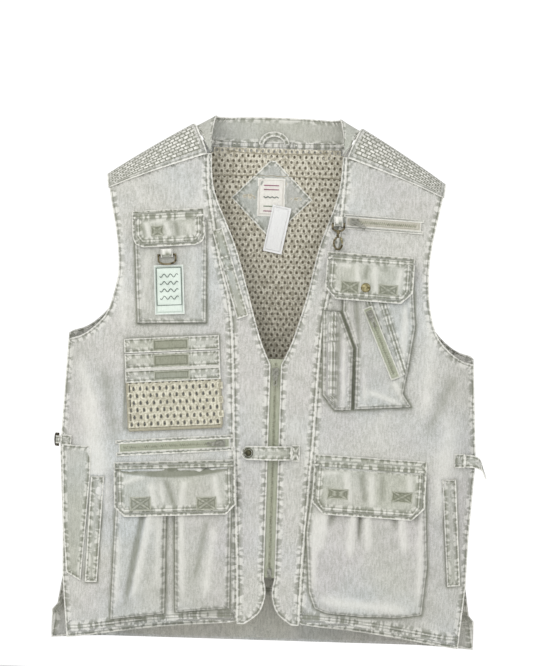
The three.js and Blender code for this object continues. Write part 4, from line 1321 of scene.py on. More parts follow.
def strip_object(name: str, surface: Callable[[Array, Array], Array], size: tuple[int, int], thick: float,
                 length: float, width: float, finish: Finish) -> bpy.types.Object:
    """Makes a strip of cloth over a curved surface.

    Args:
        name: The piece's name.
        surface: Points for grids of two parameters from 0 to 1.
        size: Number of steps along and across.
        thick: Thickness, towards the surface's back; the sign picks the side.
        length: Real length, for its stitching.
        width: Real width.
        finish: The finish that gives the material.

    Returns:
        The new object.
    """
    p, q = np.meshgrid(np.linspace(0, 1, size[0] + 1), np.linspace(0, 1, size[1] + 1), indexing="ij")
    outer = surface(p, q)
    along = np.gradient(outer, axis=0)
    across = np.gradient(outer, axis=1)
    normal = np.cross(along, across)
    normal /= np.maximum(np.linalg.norm(normal, axis=2), 1e-9)[..., None]
    edge = np.minimum(q, 1 - q) * width
    ends = np.minimum(p, 1 - p) * length
    run = np.where(edge < ends, p * length, q * width + length)
    edge = np.minimum(edge, ends)
    rise = 0.35 * wobble(run, 6.5, 3.0) * np.clip(1 - edge / 7, 0, 1)
    outer = outer + normal * (rise * np.sign(thick))[..., None]
    values = unworn_unshaded(edge, run, p * length, q * width)
    return cloth_object(name, outer, outer - normal * thick, finish, values)


@dataclass
class Neck:
    """Yokes, collar, net lining, neck patch, label, loop and tag."""

    collar_top: float = 9.0
    collar_base: float = -31.0
    neck_depth: float = 0.0
    yoke_rise: float = 7.6
    label: Place = Place(-7, -107)

    def build(self) -> None:
        """Makes every piece round the neck."""
        self.neck_depth = BODY.near(0.0, BODY.neck_z) + 2
        for side, word in ((-1, "right"), (1, "left")):
            self.yoke(side, f"{word}_yoke")
        self.collar()
        self.lining()
        self.patch_and_label()
        self.loop()
        self.tag()

    def yoke(self, side: int, node: str) -> None:
        """Makes one quilted yoke from front to back over the shoulder."""
        def surface(p: Array, q: Array) -> Array:
            """Returns points from the neck to the shoulder tip and from back to front."""
            across = 2 * q - 1
            low = np.abs(across)
            inner = (BODY.shoulder_inner + 34) + (BODY.neck_half + 6 - BODY.shoulder_inner - 34) * low
            outer = BODY.shoulder_tip - 4 * low
            x = inner + (outer - inner) * p
            top = BODY.shoulder_at(x)
            z = top + (BODY.yoke_seam(x) - top) * low ** 1.6
            y = np.sign(across) * (BODY.reach(x, z) - 0.4) * -1
            nx, ny = 0 * x, -np.sign(across) * smooth(low, 0.0, 0.45)
            nz = 1 - smooth(low, 0.1, 0.6)
            size = np.sqrt(nx ** 2 + ny ** 2 + nz ** 2)
            rise = self.yoke_rise / size
            return np.stack([side * x, y + rise * ny, z + rise * nz], axis=-1)

        made = strip_object(node + "_cloth", surface, (70, 90), -2.6 * side, 148.0, 112.0, QUILT)
        finish_piece(made, ROOT, "cotton", (node,))

    def collar(self) -> None:
        """Makes the band collar with its rolled edge."""
        half, z, inner, deep = BODY.neck_half, BODY.neck_z, BODY.shoulder_inner, self.neck_depth
        lower = [(half + 2, -deep, z + 1.5), (half + 10, 1 - deep, z + 16), (inner + 22, 8 - deep, z + 29),
                 (inner + 30.5, 0, z + 37.5), (inner + 22, deep - 8, z + 29),
                 (inner + 7, deep - 1, self.collar_base + 3), (56, deep, self.collar_base),
                 (0, deep, self.collar_base)]
        upper = [(half, -deep, z + 4), (half + 1, 2 - deep, z + 17), (half - 1, 9 - deep, z + 35),
                 (inner, -2, 4.4), (inner - 3, 11, 4.9), (inner - 14, deep - 6, self.collar_top - 3),
                 (48, deep - 1.5, self.collar_top - 1), (0, deep - 1, self.collar_top)]
        both = []
        for line in (lower, upper):
            right = [(-x, y, zz) for x, y, zz in line]
            both.append(space_curve(right + line[-2::-1], np.linspace(0, 1, 181)))

        def surface(p: Array, q: Array) -> Array:
            """Returns points along the collar and from its base to its top."""
            index = np.rint(p * 180).astype(int)
            low, high = both[0][index], both[1][index]
            w = q[..., None]
            sway = wobble(p * 420, 90, 4.0) * np.sin(np.pi * q)
            return low + (high - low) * w + np.stack([0 * p, sway, 0 * p], axis=-1)

        made = strip_object("collar_cloth", surface, (180, 18), 2.0, 420.0, 40.0, COLLAR)
        finish_piece(made, ROOT, "cotton", ("collar",))

    def lining(self) -> None:
        """Makes the mesh lining seen in the neck opening, with its seams and a dark sheet behind it as
        painted shade.
        """
        def inside(u: float, v: float) -> bool:
            """Tells whether a cell lies inside the neck and armhole edges."""
            top = min(-40.0, float(BODY.yoke_seam(u)) - 4) if abs(u) > 96 else -40.0
            return v < top and abs(u) < 214

        # A dark sheet between the net and the back: painted shade, so the holes read dark.
        behind = [(-204, -424), (204, -424), (206, -150), (150, -80), (96, -44), (-96, -44), (-150, -80),
                  (-206, -150)]
        Sewn("back_inside", behind, NET_SHADE_SHEET, steady(1.4), face=Face.BACK, thick=0.6, step=9.0, calm=True,
             slot="unfaded_cotton", declared=False).build()
        Net("lining_net", ("back_lining",), (-206, 206, -424, -38), (8.4, 7.6), (3.6, 4.8), 0.3, NET,
            inside=inside).build()
        for number, (height, half, dip) in enumerate(((-78.0, 100, -2.0), (-41.0, 74, 3.5))):
            across = np.linspace(-half, half, 41)
            level = height - dip * (1 - (across / half) ** 2) + 0.7 * wobble(across, 19, 2.0)
            points = BODY.points(across, level, np.full(41, -0.9), Face.BACK)
            finish_piece(tube(f"lining_seam_{number}", points, 0.8, NET), ROOT, "net")

    def patch_and_label(self) -> None:
        """Makes the diamond patch and the woven label on it."""
        Sewn("neck_patch_cloth", [(-59, 1), (0, -58), (59, 1), (4, 56), (-4, 56)], FADED, steady(-1.3),
             ("neck_patch",), Place(-6, -110), face=Face.BACK, thick=-1.0, step=1.8, gather=0.25,
             folds=(Fold((-26, 4), (-12, 30), 3, -1.4), Fold((24, 2), (44, 2), 3, 1.2),
                    Fold((-44, 4), (-24, 2), 3, 1.2), Fold((6, 30), (22, 22), 3, 1.2)),
             slot="cotton", declared=False).build()
        Sewn("neck_label_cloth", rectangle(-20, 20, -27.5, 27.5), WOVEN_LABEL, steady(-2.4),
             ("neck_label",),
             self.label, face=Face.BACK, thick=-0.7, step=1.4, gather=0.1, slot="label_cloth",
             declared=False).build()
        line = np.linspace(-11, 11, 49)
        lines = {
            "bar_top": (line, 17 + 0 * line, PLUM),
            "bar_upper": (line, 11 + 0 * line, PLUM),
            "wave": (line, 0.8 * np.sin(line), INK),
            "bar_lower": (line, -13 + 0 * line, LEAF),
            "bar_bottom": (line, -20 + 0 * line, PLUM),
        }
        for word, (u, v, finish) in lines.items():
            points = BODY.points(*self.label.on(u, v), np.full(len(line), -2.8), Face.BACK)
            finish_piece(tube(f"label_{word}", points, 0.65, finish), ROOT, "label_cloth")

    def loop(self) -> None:
        """Makes the strap that the vest is hung up by."""
        def surface(p: Array, q: Array) -> Array:
            """Returns points along the arch and across the strap."""
            angle = np.pi * p
            wide, high = 22 - 7 * q, 19 - 7 * q
            y = 21.7 + 0.6 * np.sin(np.pi * q) + 0 * p
            return np.stack([wide * np.cos(angle) - 5, y, high * np.sin(angle) + self.collar_base],
                            axis=-1)

        made = strip_object("hanger_loop_cloth", surface, (48, 8), 1.4, 60.0, 7.0, COLLAR)
        finish_piece(made, "hanging_loop", "cotton", ("hanger_loop",))

    def tag(self) -> None:
        """Makes the blank card tag and its thread."""
        stance = stand(Place(2.5, -124), 0, 0, lambda x, z: -3.8, face=Face.BACK)
        turn = math.radians(-10.5)
        left, right, low, high = -7.8, 19.7, -63, 5.4
        u, v = np.meshgrid(np.linspace(left, right, 15), np.linspace(low, high, 31))
        edge = np.minimum.reduce([u - left, right - u, v - low, high - v])
        cos, sin = math.cos(turn), math.sin(turn)
        across, along = u * cos - v * sin, u * sin + v * cos
        bow = 0.5 * np.sin((v - low) / 68 * np.pi)
        outer = stance.at(across, 0.8 + bow, along)
        inner = stance.at(across, 0.2 + bow, along)
        values = unworn_unshaded(edge, u, u, v)
        made = cloth_object("tag_card", outer, inner, CARD, values)
        finish_piece(made, "card_tag", "card", ("swing_tag",))
        turns = np.linspace(0, 2 * np.pi, 25)
        thread = stance.at(2.2 * np.cos(turns), 1.6 + 0 * turns, 3.5 + 5.5 * np.sin(turns))
        finish_piece(tube("tag_thread", thread, 0.35, CARD), "card_tag", "card")


# ------------------------------------------------------------------ pockets


@dataclass(frozen=True)
class Depth:
    """How far a pocket stands off the cloth, growing from its mouth downwards."""

    place: Place
    header: float
    slope: float
    mouth: float = POCKET_MOUTH

    def at(self, x: Array, z: Array) -> Array:
        """Returns the lift of the pocket's outer face."""
        return self.mouth + self.slope * (-self.header - self.place.local(x, z)[1])


@dataclass
class Flap:
    """A pocket flap with its sewn header, its corners and its fastening patches."""

    name: str
    nodes: tuple[str, ...]
    body: str
    depth: Depth
    half: float
    drop: float
    corner: float
    rounded: bool = False
    patches: Sequence[tuple[float, float, float, float]] = ()
    folds: Sequence[Fold] = ()
    sag: float = 0.0

    def lift(self, x: Array, z: Array, u: Array, v: Array, edge: Array) -> Array:
        """Returns the flap's lift: flat on its header, then out over the pocket."""
        out = smooth(-v - self.depth.header, -1.0, 9.0)
        sag = 0.8 * np.sin(np.pi * np.clip((-v - self.depth.header) / self.drop, 0, 1))
        return TRIM_TOP + (self.depth.at(x, z) + 3.6 + sag - TRIM_TOP) * out

    def hollow(self, u: Array, v: Array) -> Array:
        """Returns a painted shadow: the dark crescent under the header, where the flap sags."""
        low = -self.depth.header - self.sag * np.clip(1 - (u / self.half) ** 2, 0, 1) ** 0.7
        above = smooth(v, -self.depth.header - 2, -self.depth.header)
        inside = smooth(v, low - 1.5, low + 1.5) * (1 - above)
        return -0.8 * inside if self.sag else 0 * u

    def build(self) -> None:
        """Makes the flap and the patches on it, turning out over the pocket below the header."""
        h, d, c = self.half, self.drop, self.corner
        low = spline([(h, c - d), (h - c * 0.3, c * 0.3 - d), (h - c, -d)], 6) if self.rounded else [
            (h, c - d), (h - c, -d)]
        outline = [(h, 0), *low, *mirrored(low)[::-1], (-h, 0)]
        header = self.depth.header
        inset = 8.5
        half_hem = [(h - inset, -header), (h - inset, c - d + 2), (h - c + 1, inset - d)]
        hem = [*half_hem, *mirrored(half_hem)[::-1]]
        lines = [[(-h, -header), (h, -header)], hem]
        place = self.depth.place
        cloth = Sewn(f"{self.name}_cloth", outline, FADED, self.lift, self.nodes, place, lines, step=1.7,
                     folds=self.folds, rides=self.body, gather=0.7, period=5.5, reach=7.0,
                     shaded=self.hollow)
        pieces = [cloth.build()]
        for number, (left, right, bottom, top) in enumerate(self.patches):
            patch = Sewn(f"{self.name}_patch_{number}", rectangle(left, right, bottom, top), UNFADED,
                         lambda x, z, u, v, edge: cloth.relief(u, v)[0] + 0.5, (), place, step=1.6,
                         thick=0.4, rides=self.body, slot="unfaded_cotton", declared=False, calm=True,
                         seams=([(left, bottom), (right, top)], [(left, top), (right, bottom)]))
            pieces.append(patch.build())
        x, z = place.on(0.0, -header - 2)
        deep = BODY.near(x, z)
        start, end = ((x * MM, -(deep + TRIM_TOP) * MM, height * MM) for height in (z + 3, z - 7))
        for piece in pieces:
            piece.parent = None
            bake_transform(piece)
            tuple(start)
            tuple(end)


@dataclass
class PocketBag:
    """A pocket that stands off the cloth, sewn down at its sides and bottom and open on top."""

    name: str
    nodes: tuple[str, ...]
    edge: Sequence[Point]
    depth: Callable[[Array, Array], Array]
    degrees: float = 0.0
    wall: float = 4.0
    crown: float = 2.2
    folds: Sequence[Fold] = ()
    seams: Sequence[Sequence[Point]] = ()
    top: tuple[int, ...] = ()
    finish: Cloth = POCKET
    step: float = 2.2
    puff: float = 1.2

    def build(self) -> bpy.types.Object:
        """Makes the pocket's front and walls.

        Returns:
            The object, riding on the vest.
        """
        xs, zs = [p[0] for p in self.edge], [p[1] for p in self.edge]
        place = Place((min(xs) + max(xs)) / 2, (min(zs) + max(zs)) / 2, self.degrees)
        outline = place.outline(self.edge)
        walls = [(outline[n], outline[(n + 1) % len(outline)])
                 for n in range(len(outline)) if n not in self.top]

        def lift(x: Array, z: Array, u: Array, v: Array, edge: Array) -> Array:
            """Returns the pocket's lift, rising from the seam over the wall."""
            away = np.full(u.shape, 1e3)
            for start, end in walls:
                away = np.minimum(away, off_line(u, v, start, end)[0])
            full = self.depth(x, z) - 0.8
            swell = self.puff * smooth(away, 3, 26)
            foot = TRIM_TOP - 0.6
            return foot + (full - foot) * smooth(away, 0.2, self.wall) + swell - 0.4

        return Sewn(self.name, outline, self.finish, lift, self.nodes, place, self.seams, self.top,
                    self.folds, step=self.step, gather=0.7, period=8.0, reach=8.0, crown=self.crown).build()


CHEST_RIGHT = Depth(Place(-153.5, -132.5, 4.5), 10, 0.02)
CARGO_RIGHT = Depth(Place(-133, -490, 3.2), 9, 0.058)
CARGO_LEFT = Depth(Place(146.5, -477, -2.2), 15, 0.07)
CHEST_LEFT = Depth(Place(138, -188, -2.6), 9, 0.04)
TOOLS = Place(-142.5, -314, 4.2)


@dataclass
class Pockets:
    """All the pockets and flaps on the two fronts."""

    tool_half: float = 67.5

    def build(self) -> None:
        """Makes the right side, then the left."""
        self.right_chest()
        self.tool_pocket()
        self.right_cargo()
        self.left_cargo()
        self.left_chest()
        self.welts()

    def right_chest(self) -> None:
        """Makes the chest pocket with its flap and the badge."""
        PocketBag("right_chest_bag", ("right_chest_pocket",), POCKET_EDGES[-1][0], CHEST_RIGHT.at, 2.6,
                  top=(2,), wall=3.0,
                  folds=(Fold((-30, 30), (-38, -50), 6, 1.0), Fold((34, 40), (30, -60), 6, 0.9))).build()
        Flap("right_chest_flap", ("right_chest_flap",), "right_chest_cover", CHEST_RIGHT, 51.5, 53, 15,
             True, ((-25, -7, -38, -23),),
             (Fold((-32, -16), (-26, -44), 4, 2.4), Fold((-4, -18), (2, -40), 4, 2.4),
              Fold((-26, -16), (-6, -16), 4, 2.0), Fold((-38, -20), (-34, -42), 3, -2.2),
              Fold((10, -18), (14, -42), 3, -2.2), Fold((24, -20), (34, -40), 5, 1.6))).build()
        badge = Place(-147.5, -247, 3.5)
        Sewn("badge_cloth", rectangle(-21, 21, -35, 35), MINT,
             lambda x, z, u, v, edge: CHEST_RIGHT.at(x, z) + 1.9, ("badge",), badge, step=1.4, thick=0.8,
             gather=0.15, slot="badge_cloth", declared=False).build()
        self.badge_drawing(badge)

    def badge_drawing(self, place: Place) -> None:
        """Sews a border and four plain waves on the badge."""
        line = np.linspace(-1, 1, 97)
        lap, corners = np.linspace(0, 4, 97), np.arange(5)
        drawn = {"border": (np.interp(lap, corners, [-17.5, 17.5, 17.5, -17.5, -17.5]),
                            np.interp(lap, corners, [-22, -22, 31, 31, -22]))}
        for number in range(4):
            drawn[f"wave_{number}"] = (13 * line, 20 - 10.5 * number + 2.2 * np.sin(line * 9))
        for word, (u, v) in drawn.items():
            x, z = place.on(u, v)
            points = BODY.points(x, z, CHEST_RIGHT.at(x, z) + 2.2, Face.FRONT)
            finish_piece(tube(f"badge_{word}", points, 0.5, INK), ROOT, "badge_cloth")

    def tool_pocket(self) -> None:
        """Makes the three bands, the mesh front and the lapel strip."""
        for word, top, bottom, lift in (("upper", 0.0, -20.5, 8.3), ("middle", -21.5, -43.5, 8.5),
                                        ("lower", -44.5, -62.5, 10.6)):
            band = Sewn(f"tool_band_{word}", rectangle(-self.tool_half, self.tool_half, bottom, top), FADED,
                        self.band_lift(lift, word == "lower"), (f"tool_pocket_{word}_band",), TOOLS,
                        step=1.7, reach=12, gather=0.6, period=9)
            band.build()
            Sewn(f"tool_patch_{word}", rectangle(-27, 24, bottom + 1.5, top - 2.5), UNFADED,
                 lambda x, z, u, v, edge, band=band: band.relief(u, v)[0] + 0.4, (), TOOLS, step=1.8,
                 thick=0.4, slot="unfaded_cotton", declared=False, calm=True).build()
        Sewn("tool_lip", rectangle(-self.tool_half, self.tool_half, -46.5, -43.5), CREAM, steady(11.4), (),
             TOOLS, step=1.4, thick=0.8, gather=0.2, declared=False).build()
        Net("mesh_pocket_front", ("mesh_pocket",), (-61.5, 61.5, -127, -56), (9.4, 10.1), (3.4, 6.4), 8.3,
            POCKET_NET, 1.0, TOOLS, Face.FRONT).build()
        for word, u, v in (("left", (-65, -65), (-128, -60)), ("right", (65.5, 65.5), (-128, -60)),
                           ("bottom", (-66, 66), (-129.5, -129.5))):
            a, b = np.linspace(u[0], u[1], 60), np.linspace(v[0], v[1], 60)
            x, z = TOOLS.on(a, b)
            points = BODY.points(x, z, 6.0 + 0.3 * wobble(a + b, 6, 2), Face.FRONT)
            finish_piece(tube(f"mesh_pocket_{word}_selvedge", points, 2.6, POCKET_NET), ROOT, "net")
        Sewn("lapel_strip_cloth", [(-90, -160.5), (-50, -286), (-34, -280), (-74.5, -156.5)], STRIP,
             steady(5.4), ("lapel_strip",), step=1.8, thick=2.0, slot="unfaded_cotton",
             seams=([(-72, -216), (-56, -211)], [(-77, -200), (-61.5, -195)])).build()

    def band_lift(self, value: float, over: bool) -> Callable[..., Array]:
        """Returns the lift of a tool band, sewn down at its two ends."""
        def lift(x: Array, z: Array, u: Array, v: Array, edge: Array) -> Array:
            """Returns the lift at each place."""
            wall = smooth(self.tool_half - np.abs(u), 0, 3)
            return (value - (0 if over else 3.5) * (1 - wall)) + 0 * x

        return lift

    def right_cargo(self) -> None:
        """Makes the two bellows pockets under one flap."""
        rear, fore = POCKET_EDGES[-1][1:3]
        PocketBag("right_rear_bag", ("right_cargo_rear_pocket",), rear, CARGO_RIGHT.at, 2.0, top=(3,),
                  wall=6,
                  folds=(Fold((16, 100), (-20, -84), 4, -4.0), Fold((26, 92), (-8, -70), 6, 3.0),
                         Fold((-12, 104), (-30, 40), 5, 2.8), Fold((-4, 100), (-26, 66), 3, -2.6),
                         Fold((-30, 20), (-34, -90), 5, 1.8), Fold((28, 60), (26, -60), 5, 1.6))).build()
        PocketBag("right_front_bag", ("right_cargo_front_pocket",), fore, CARGO_RIGHT.at, 2.0, top=(3,),
                  wall=6,
                  folds=(Fold((-30, 104), (-28, -80), 5, 2.4), Fold((4, 104), (30, 60), 4, -3.2),
                         Fold((-6, 104), (10, 70), 4, 2.6), Fold((14, 104), (34, 40), 4, 2.4),
                         Fold((8, 30), (-12, -60), 4, -1.8), Fold((18, 20), (4, -80), 6, 1.8))).build()
        Flap("right_cargo_flap", ("right_cargo_header", "right_cargo_flap"), "right_cargo_cover",
             CARGO_RIGHT, 86, 77, 14, sag=14.0, patches=((-64, -34, -69, -49), (30, 59, -70, -51)),
             folds=(Fold((-76, -30), (-40, -18), 5, 2.2), Fold((-34, -30), (-28, -66), 5, 2.6),
                    Fold((-12, -26), (0, -66), 4, -2.4), Fold((14, -28), (8, -66), 5, 2.4),
                    Fold((56, -22), (62, -62), 5, 2.4), Fold((-20, -30), (-16, -60), 4, 1.8))).build()

    def left_cargo(self) -> None:
        """Makes the big bellows pocket with its middle pleat."""
        PocketBag("left_cargo_bag", ("left_cargo_pocket",), POCKET_EDGES[1][0], CARGO_LEFT.at, -1.0,
                  top=(9,), wall=7,
                  folds=(Fold((-12, 100), (-12, 4), 2.2, -4.5), Fold((-19, 98), (-24, -20), 5, 3.6),
                         Fold((-5, 98), (2, -10), 5, 3.2), Fold((28, 100), (40, 20), 4, -3.0),
                         Fold((36, 100), (54, -10), 6, 3.0), Fold((52, 100), (70, 30), 4, -2.6),
                         Fold((-44, 100), (-54, 20), 4, -3.0), Fold((-56, 96), (-66, -10), 6, 3.0),
                         Fold((12, 100), (18, 40), 4, 2.2), Fold((-74, 40), (-76, -70), 6, 2.4),
                         Fold((-60, -84), (60, -92), 8, 2.2), Fold((76, 40), (78, -80), 6, 2.4))).build()
        Flap("left_cargo_flap", ("left_cargo_header", "left_cargo_flap"), "left_cargo_cover",
             CARGO_LEFT, 80, 84, 17, patches=((-59, -29, -61, -46), (32, 62, -60, -44)),
             folds=(Fold((-34, -20), (-26, -66), 5, 2.6), Fold((-12, -22), (-4, -64), 4, -2.4),
                    Fold((2, -22), (6, -70), 5, 2.2), Fold((18, -22), (20, -60), 4, -2.0),
                    Fold((56, -20), (60, -60), 5, 2.4), Fold((-72, -26), (-44, -24), 4, 1.8))).build()

    def left_chest(self) -> None:
        """Makes the zipped chest pocket with its flap and the pen pocket."""
        PocketBag("left_chest_bag", ("left_chest_pocket",), POCKET_EDGES[1][1], CHEST_LEFT.at, -1.5,
                  top=(9,), wall=4, puff=0.2,
                  folds=(Fold((38, 60), (34, -50), 5, 3.0), Fold((-36, 60), (-20, -80), 4, -3.0),
                         Fold((-38, 20), (-14, -90), 5, 2.6), Fold((24, -60), (44, -88), 4, 2.6),
                         Fold((-10, -76), (34, -90), 4, 2.4), Fold((30, 76), (44, 30), 4, -2.4)),
                  seams=([(-21, 62), (24, -50)], [(-3, 66), (40, -46)])).build()
        PocketBag("pen_bag", ("pen_pocket",), POCKET_EDGES[1][2], CHEST_LEFT.at, 0.0, top=(6,), wall=4,
                  folds=(Fold((-9, 66), (-8, -60), 3, 2.4), Fold((0, 60), (2, -66), 3, -3.0),
                         Fold((9, 30), (10, -60), 3, 2.2), Fold((-14, 40), (8, 34), 3, -1.6),
                         Fold((-14, -10), (10, -14), 3, 1.6)),
                  seams=([(-7, 68), (-6, -62)],)).build()
        Flap("left_chest_flap", ("left_chest_flap",), "left_chest_cover", CHEST_LEFT, 62.5, 67, 16,
             patches=((-41, -14, -58, -40), (13, 41, -57, -41)),
             folds=(Fold((-20, -14), (-14, -56), 4, 2.4), Fold((-4, -14), (-6, -36), 3, -2.4),
                    Fold((6, -14), (10, -54), 4, 2.6), Fold((44, -16), (40, -50), 5, 2.2),
                    Fold((-46, -18), (-26, -18), 4, 2.0), Fold((24, -14), (20, -24), 3, -2.0))).build()
        stance = stand(CHEST_LEFT.place, -5, -48, lambda x, z: float(CHEST_LEFT.at(x, z)) + 5.6)
        self.snap("left_chest_cap", "left_chest_snap_cap", "left_chest_cover", stance, 6.8, BRASS,
                  "brass_metal")

    @staticmethod
    def snap(name: str, node: str, rides: str, stance: Stance, radius: float, finish: Metal,
             slot: str) -> None:
        """Makes a snap's domed cap with its rolled rim.

        Args:
            name: The piece's name.
            node: The node it stands for.
            rides: The body it rides on.
            stance: The middle of its foot and its axes.
            radius: Radius of the cap.
            finish: The finish that gives the material.
            slot: The material slot; not used.
        """
        shares = [(0.98, -0.6), (1, 0.4), (0.96, 1.1), (0.84, 1.35), (0.74, 1.0), (0.62, 1.2),
                  (0.4, 1.75), (0.18, 1.95)]
        profile = [(0.2, -0.6), *((radius * share, height) for share, height in shares), (0.2, 2.0)]
        made = lathe(name, profile, stance.origin, -stance.inward, finish)
        finish_piece(made, rides, slot, (node,))

    def welts(self) -> None:
        """Makes the welts of the two slanting side pockets."""
        edges = {"right": POCKET_EDGES[-1][4], "left": POCKET_EDGES[1][3]}
        for word, edge in edges.items():
            Sewn(f"{word}_welt_cloth", edge, FADED, steady(5.0), (f"{word}_welt",), step=1.8, thick=2.0,
                 reach=6, gather=0.6).build()


# ------------------------------------------------------------------ zips and hardware


TOOTH = (0.95, 1.4, 2.7)
WAIST_ZIP = Place(-133.5, -468, 4.6)


@dataclass
class Zip:
    """A zip let into the cloth: stitched tape and a chain of teeth."""

    name: str
    place: Place
    turn: float
    start: float
    end: float
    lift: Callable[[float, float], float]
    finish: Cloth = TAPE
    half: float = 7.0
    pitch: float = 1.5

    def build(self) -> None:
        """Makes the tape and the teeth."""
        stance = stand(self.place, 0, 0, self.lift, self.turn)
        length = self.end - self.start
        u, v = np.meshgrid(np.linspace(self.start, self.end, int(length / 1.6)),
                           np.linspace(-self.half, self.half, 13), indexing="ij")
        edge = np.minimum(self.half - np.abs(v), np.minimum(u - self.start, self.end - u))
        rise = 0.2 * wobble(u, 7, 2.0) * (np.abs(v) > 4)
        values = unworn_unshaded(edge, u, v, u)
        tape = cloth_object(f"{self.name}_cloth", stance.at(u, 1.2 + rise, v), stance.at(u, 0.1, v),
                            self.finish, values)
        slot = "cream_tape" if self.finish is CREAM else "zip_tape"
        finish_piece(tape, ROOT, slot, (f"{self.name}_tape",))
        along = np.arange(self.start + 6.5, self.end - 6.5, self.pitch)
        side = np.where(np.arange(len(along)) % 2 == 0, 0.9, -0.9)
        teeth = boxes(f"{self.name}_teeth", stance.at(along, 1.85, side),
                      np.array([stance.across, -stance.inward, stance.up]), TOOTH, CHAIN)
        finish_piece(teeth, ROOT, "silver_metal")


@dataclass
class Fastenings:
    """Zips, tabs, rings, the trigger hook and the waist straps."""

    tab: Place = Place(7, -474.5, 1)

    def build(self) -> None:
        """Makes every fastening and dresses the metal that the frame already has."""
        Zip("waist_zip", WAIST_ZIP, 0, -79, 79, lambda x, z: PANEL_TOP).build()
        Zip("chest_zip", Place(154, -144, -2.5), 0, -53, 54, lambda x, z: PANEL_TOP, CREAM).build()
        Zip("slant_zip", Place(155.5, -313), -66.5, -54, 55,
            lambda x, z: float(CHEST_LEFT.at(x, z)) + 0.3).build()
        self.zip_frames()
        self.front_zip()
        self.front_tab()
        self.loops()
        self.straps()
        self.metal()

    def zip_frames(self) -> None:
        """Sews the raised cloth frames over and under the waist and chest zips."""
        frames = (("waist", WAIST_ZIP, 83.5, 11.5), ("chest", Place(154.5, -144, -2.5), 57, 10.5))
        for word, place, half, tall in frames:
            for part, outline in (("top", rectangle(-half, half, 6.0, tall)),
                                  ("bottom", rectangle(-half, half, -tall, -6.0))):
                Sewn(f"{word}_zip_{part}", outline, FADED, steady(3.6), (), place, step=1.6, thick=1.2,
                     gather=0.4, reach=5, declared=False).build()

    def front_zip(self) -> None:
        """Makes the two tapes and the long chain of the front zip."""
        top, bottom, wide = -341.0, -652.0, 20.5
        for side, word in ((-1, "right"), (1, "left")):
            u = np.sort([BODY.opening_x + side * 0.2, BODY.opening_x + side * wide])
            x, z = np.meshgrid(np.linspace(u[0], u[1], 12), np.linspace(bottom, top, 150))
            edge = np.minimum(np.abs(x - BODY.opening_x - side * wide), 9.0)
            values = unworn_unshaded(edge, z, x, z)
            tape = cloth_object(f"front_zip_{word}_cloth", BODY.points(x, z, -0.4 + 0 * x, Face.FRONT),
                                BODY.points(x, z, -1.5 + 0 * x, Face.FRONT), TAPE, values)
            finish_piece(tape, ROOT, "zip_tape", (f"front_zip_{word}_tape",))
        down = np.arange(bottom + 14, top - 5, 1.3)
        side = np.where(np.arange(len(down)) % 2 == 0, 0.75, -0.75)
        centres = BODY.points(BODY.opening_x + side, down, np.full(len(down), 0.3), Face.FRONT)
        axes = np.array([(0, 0, 1.0), (0, -1.0, 0), (1.0, 0, 0)])
        finish_piece(boxes("front_zip_teeth", centres, axes, TOOTH, CHAIN), ROOT, "silver_metal")

    def front_tab(self) -> None:
        """Makes the strap that snaps across the front zip."""
        reach, height = 71.0, 20.0

        def surface(p: Array, q: Array) -> Array:
            """Returns points from the sewn end to the rounded tip."""
            left = reach * (1 - p)
            narrow = np.where(left < 10, np.sqrt(np.clip(1 - (1 - left / 10) ** 2, 0, 1)), 1.0)
            half = height / 2 * np.maximum(narrow, 0.35)
            x, z = self.tab.on(26 - reach * p, (2 * q - 1) * half)
            over = np.minimum(p / 0.74, 1)
            rise = 3.4 * over + 7.5 * np.sin(np.pi * over) ** 1.2
            return BODY.points(x, z, PANEL_TOP + 1.8 + rise, Face.FRONT)

        made = strip_object("front_tab_cloth", surface, (60, 14), 1.6, reach, height, FADED)
        finish_piece(made, "closing_tab", "faded_cotton", ("front_tab",))
        stance = stand(self.tab, -35, 0, lambda x, z: 8.4)
        Pockets.snap("front_tab_cap", "front_tab_snap_cap", "closing_tab", stance, 7.2, DARK, "dark_metal")
        Sewn("tab_anchor", rectangle(26.6, 38, -11.5, 11.5), FADED, steady(4.4), (), self.tab, step=1.4,
             thick=1.6, reach=5, declared=False,
             seams=([(27, -10), (37, 10)], [(27, 10), (37, -10)])).build()

    def loops(self) -> None:
        """Makes the cloth loops that hold the D ring and the hook's eye."""
        ring = stand(CHEST_RIGHT.place, -4, -65.5, lambda x, z: float(CHEST_RIGHT.at(x, z)) + 0.3)
        hook = stand(Place(90, -146), 0, 0, lambda x, z: PANEL_TOP)
        for name, node, stance, width, tail in (("ring_tab_cloth", "ring_tab", ring, 17, 8),
                                                ("hook_tab_cloth", "hook_tab", hook, 13, 10)):
            turn = np.pi * np.concatenate([[0.0], np.linspace(0.08, 1, 24)])
            arc = [(3.9 + 3.7 * np.cos(t), -3.7 * np.sin(t)) for t in turn]
            route = np.array([(7.6, tail), (7.6, 4.5), *arc, (0.4, 4.5), (0.4, tail)])

            def surface(p: Array, q: Array, route: Array = route, stance: Stance = stance,
                        width: float = width) -> Array:
                """Returns points down the front of the loop, round the bar and up its back."""
                place = p * (len(route) - 1)
                out = np.interp(place, np.arange(len(route)), route[:, 0])
                rise = np.interp(place, np.arange(len(route)), route[:, 1])
                return stance.at((q - 0.5) * width, out, rise)

            made = strip_object(name, surface, (58, 8), 1.1, 30.0, width, FADED)
            finish_piece(made, ROOT, "faded_cotton", (node,))

    def straps(self) -> None:
        """Makes the left waist strap with its sewn patch and the loop at the right side."""
        x0, z0 = 282.3, -478.5
        near = -(BODY.near(x0, z0) + PANEL_TOP + 0.9)
        line = space_curve([(x0, near, z0), (x0 + 14, near - 3, z0 - 1), (x0 + 25, near, z0 - 7),
                            (x0 + 28, near - 1, z0 - 17)], np.linspace(0, 1, 41))

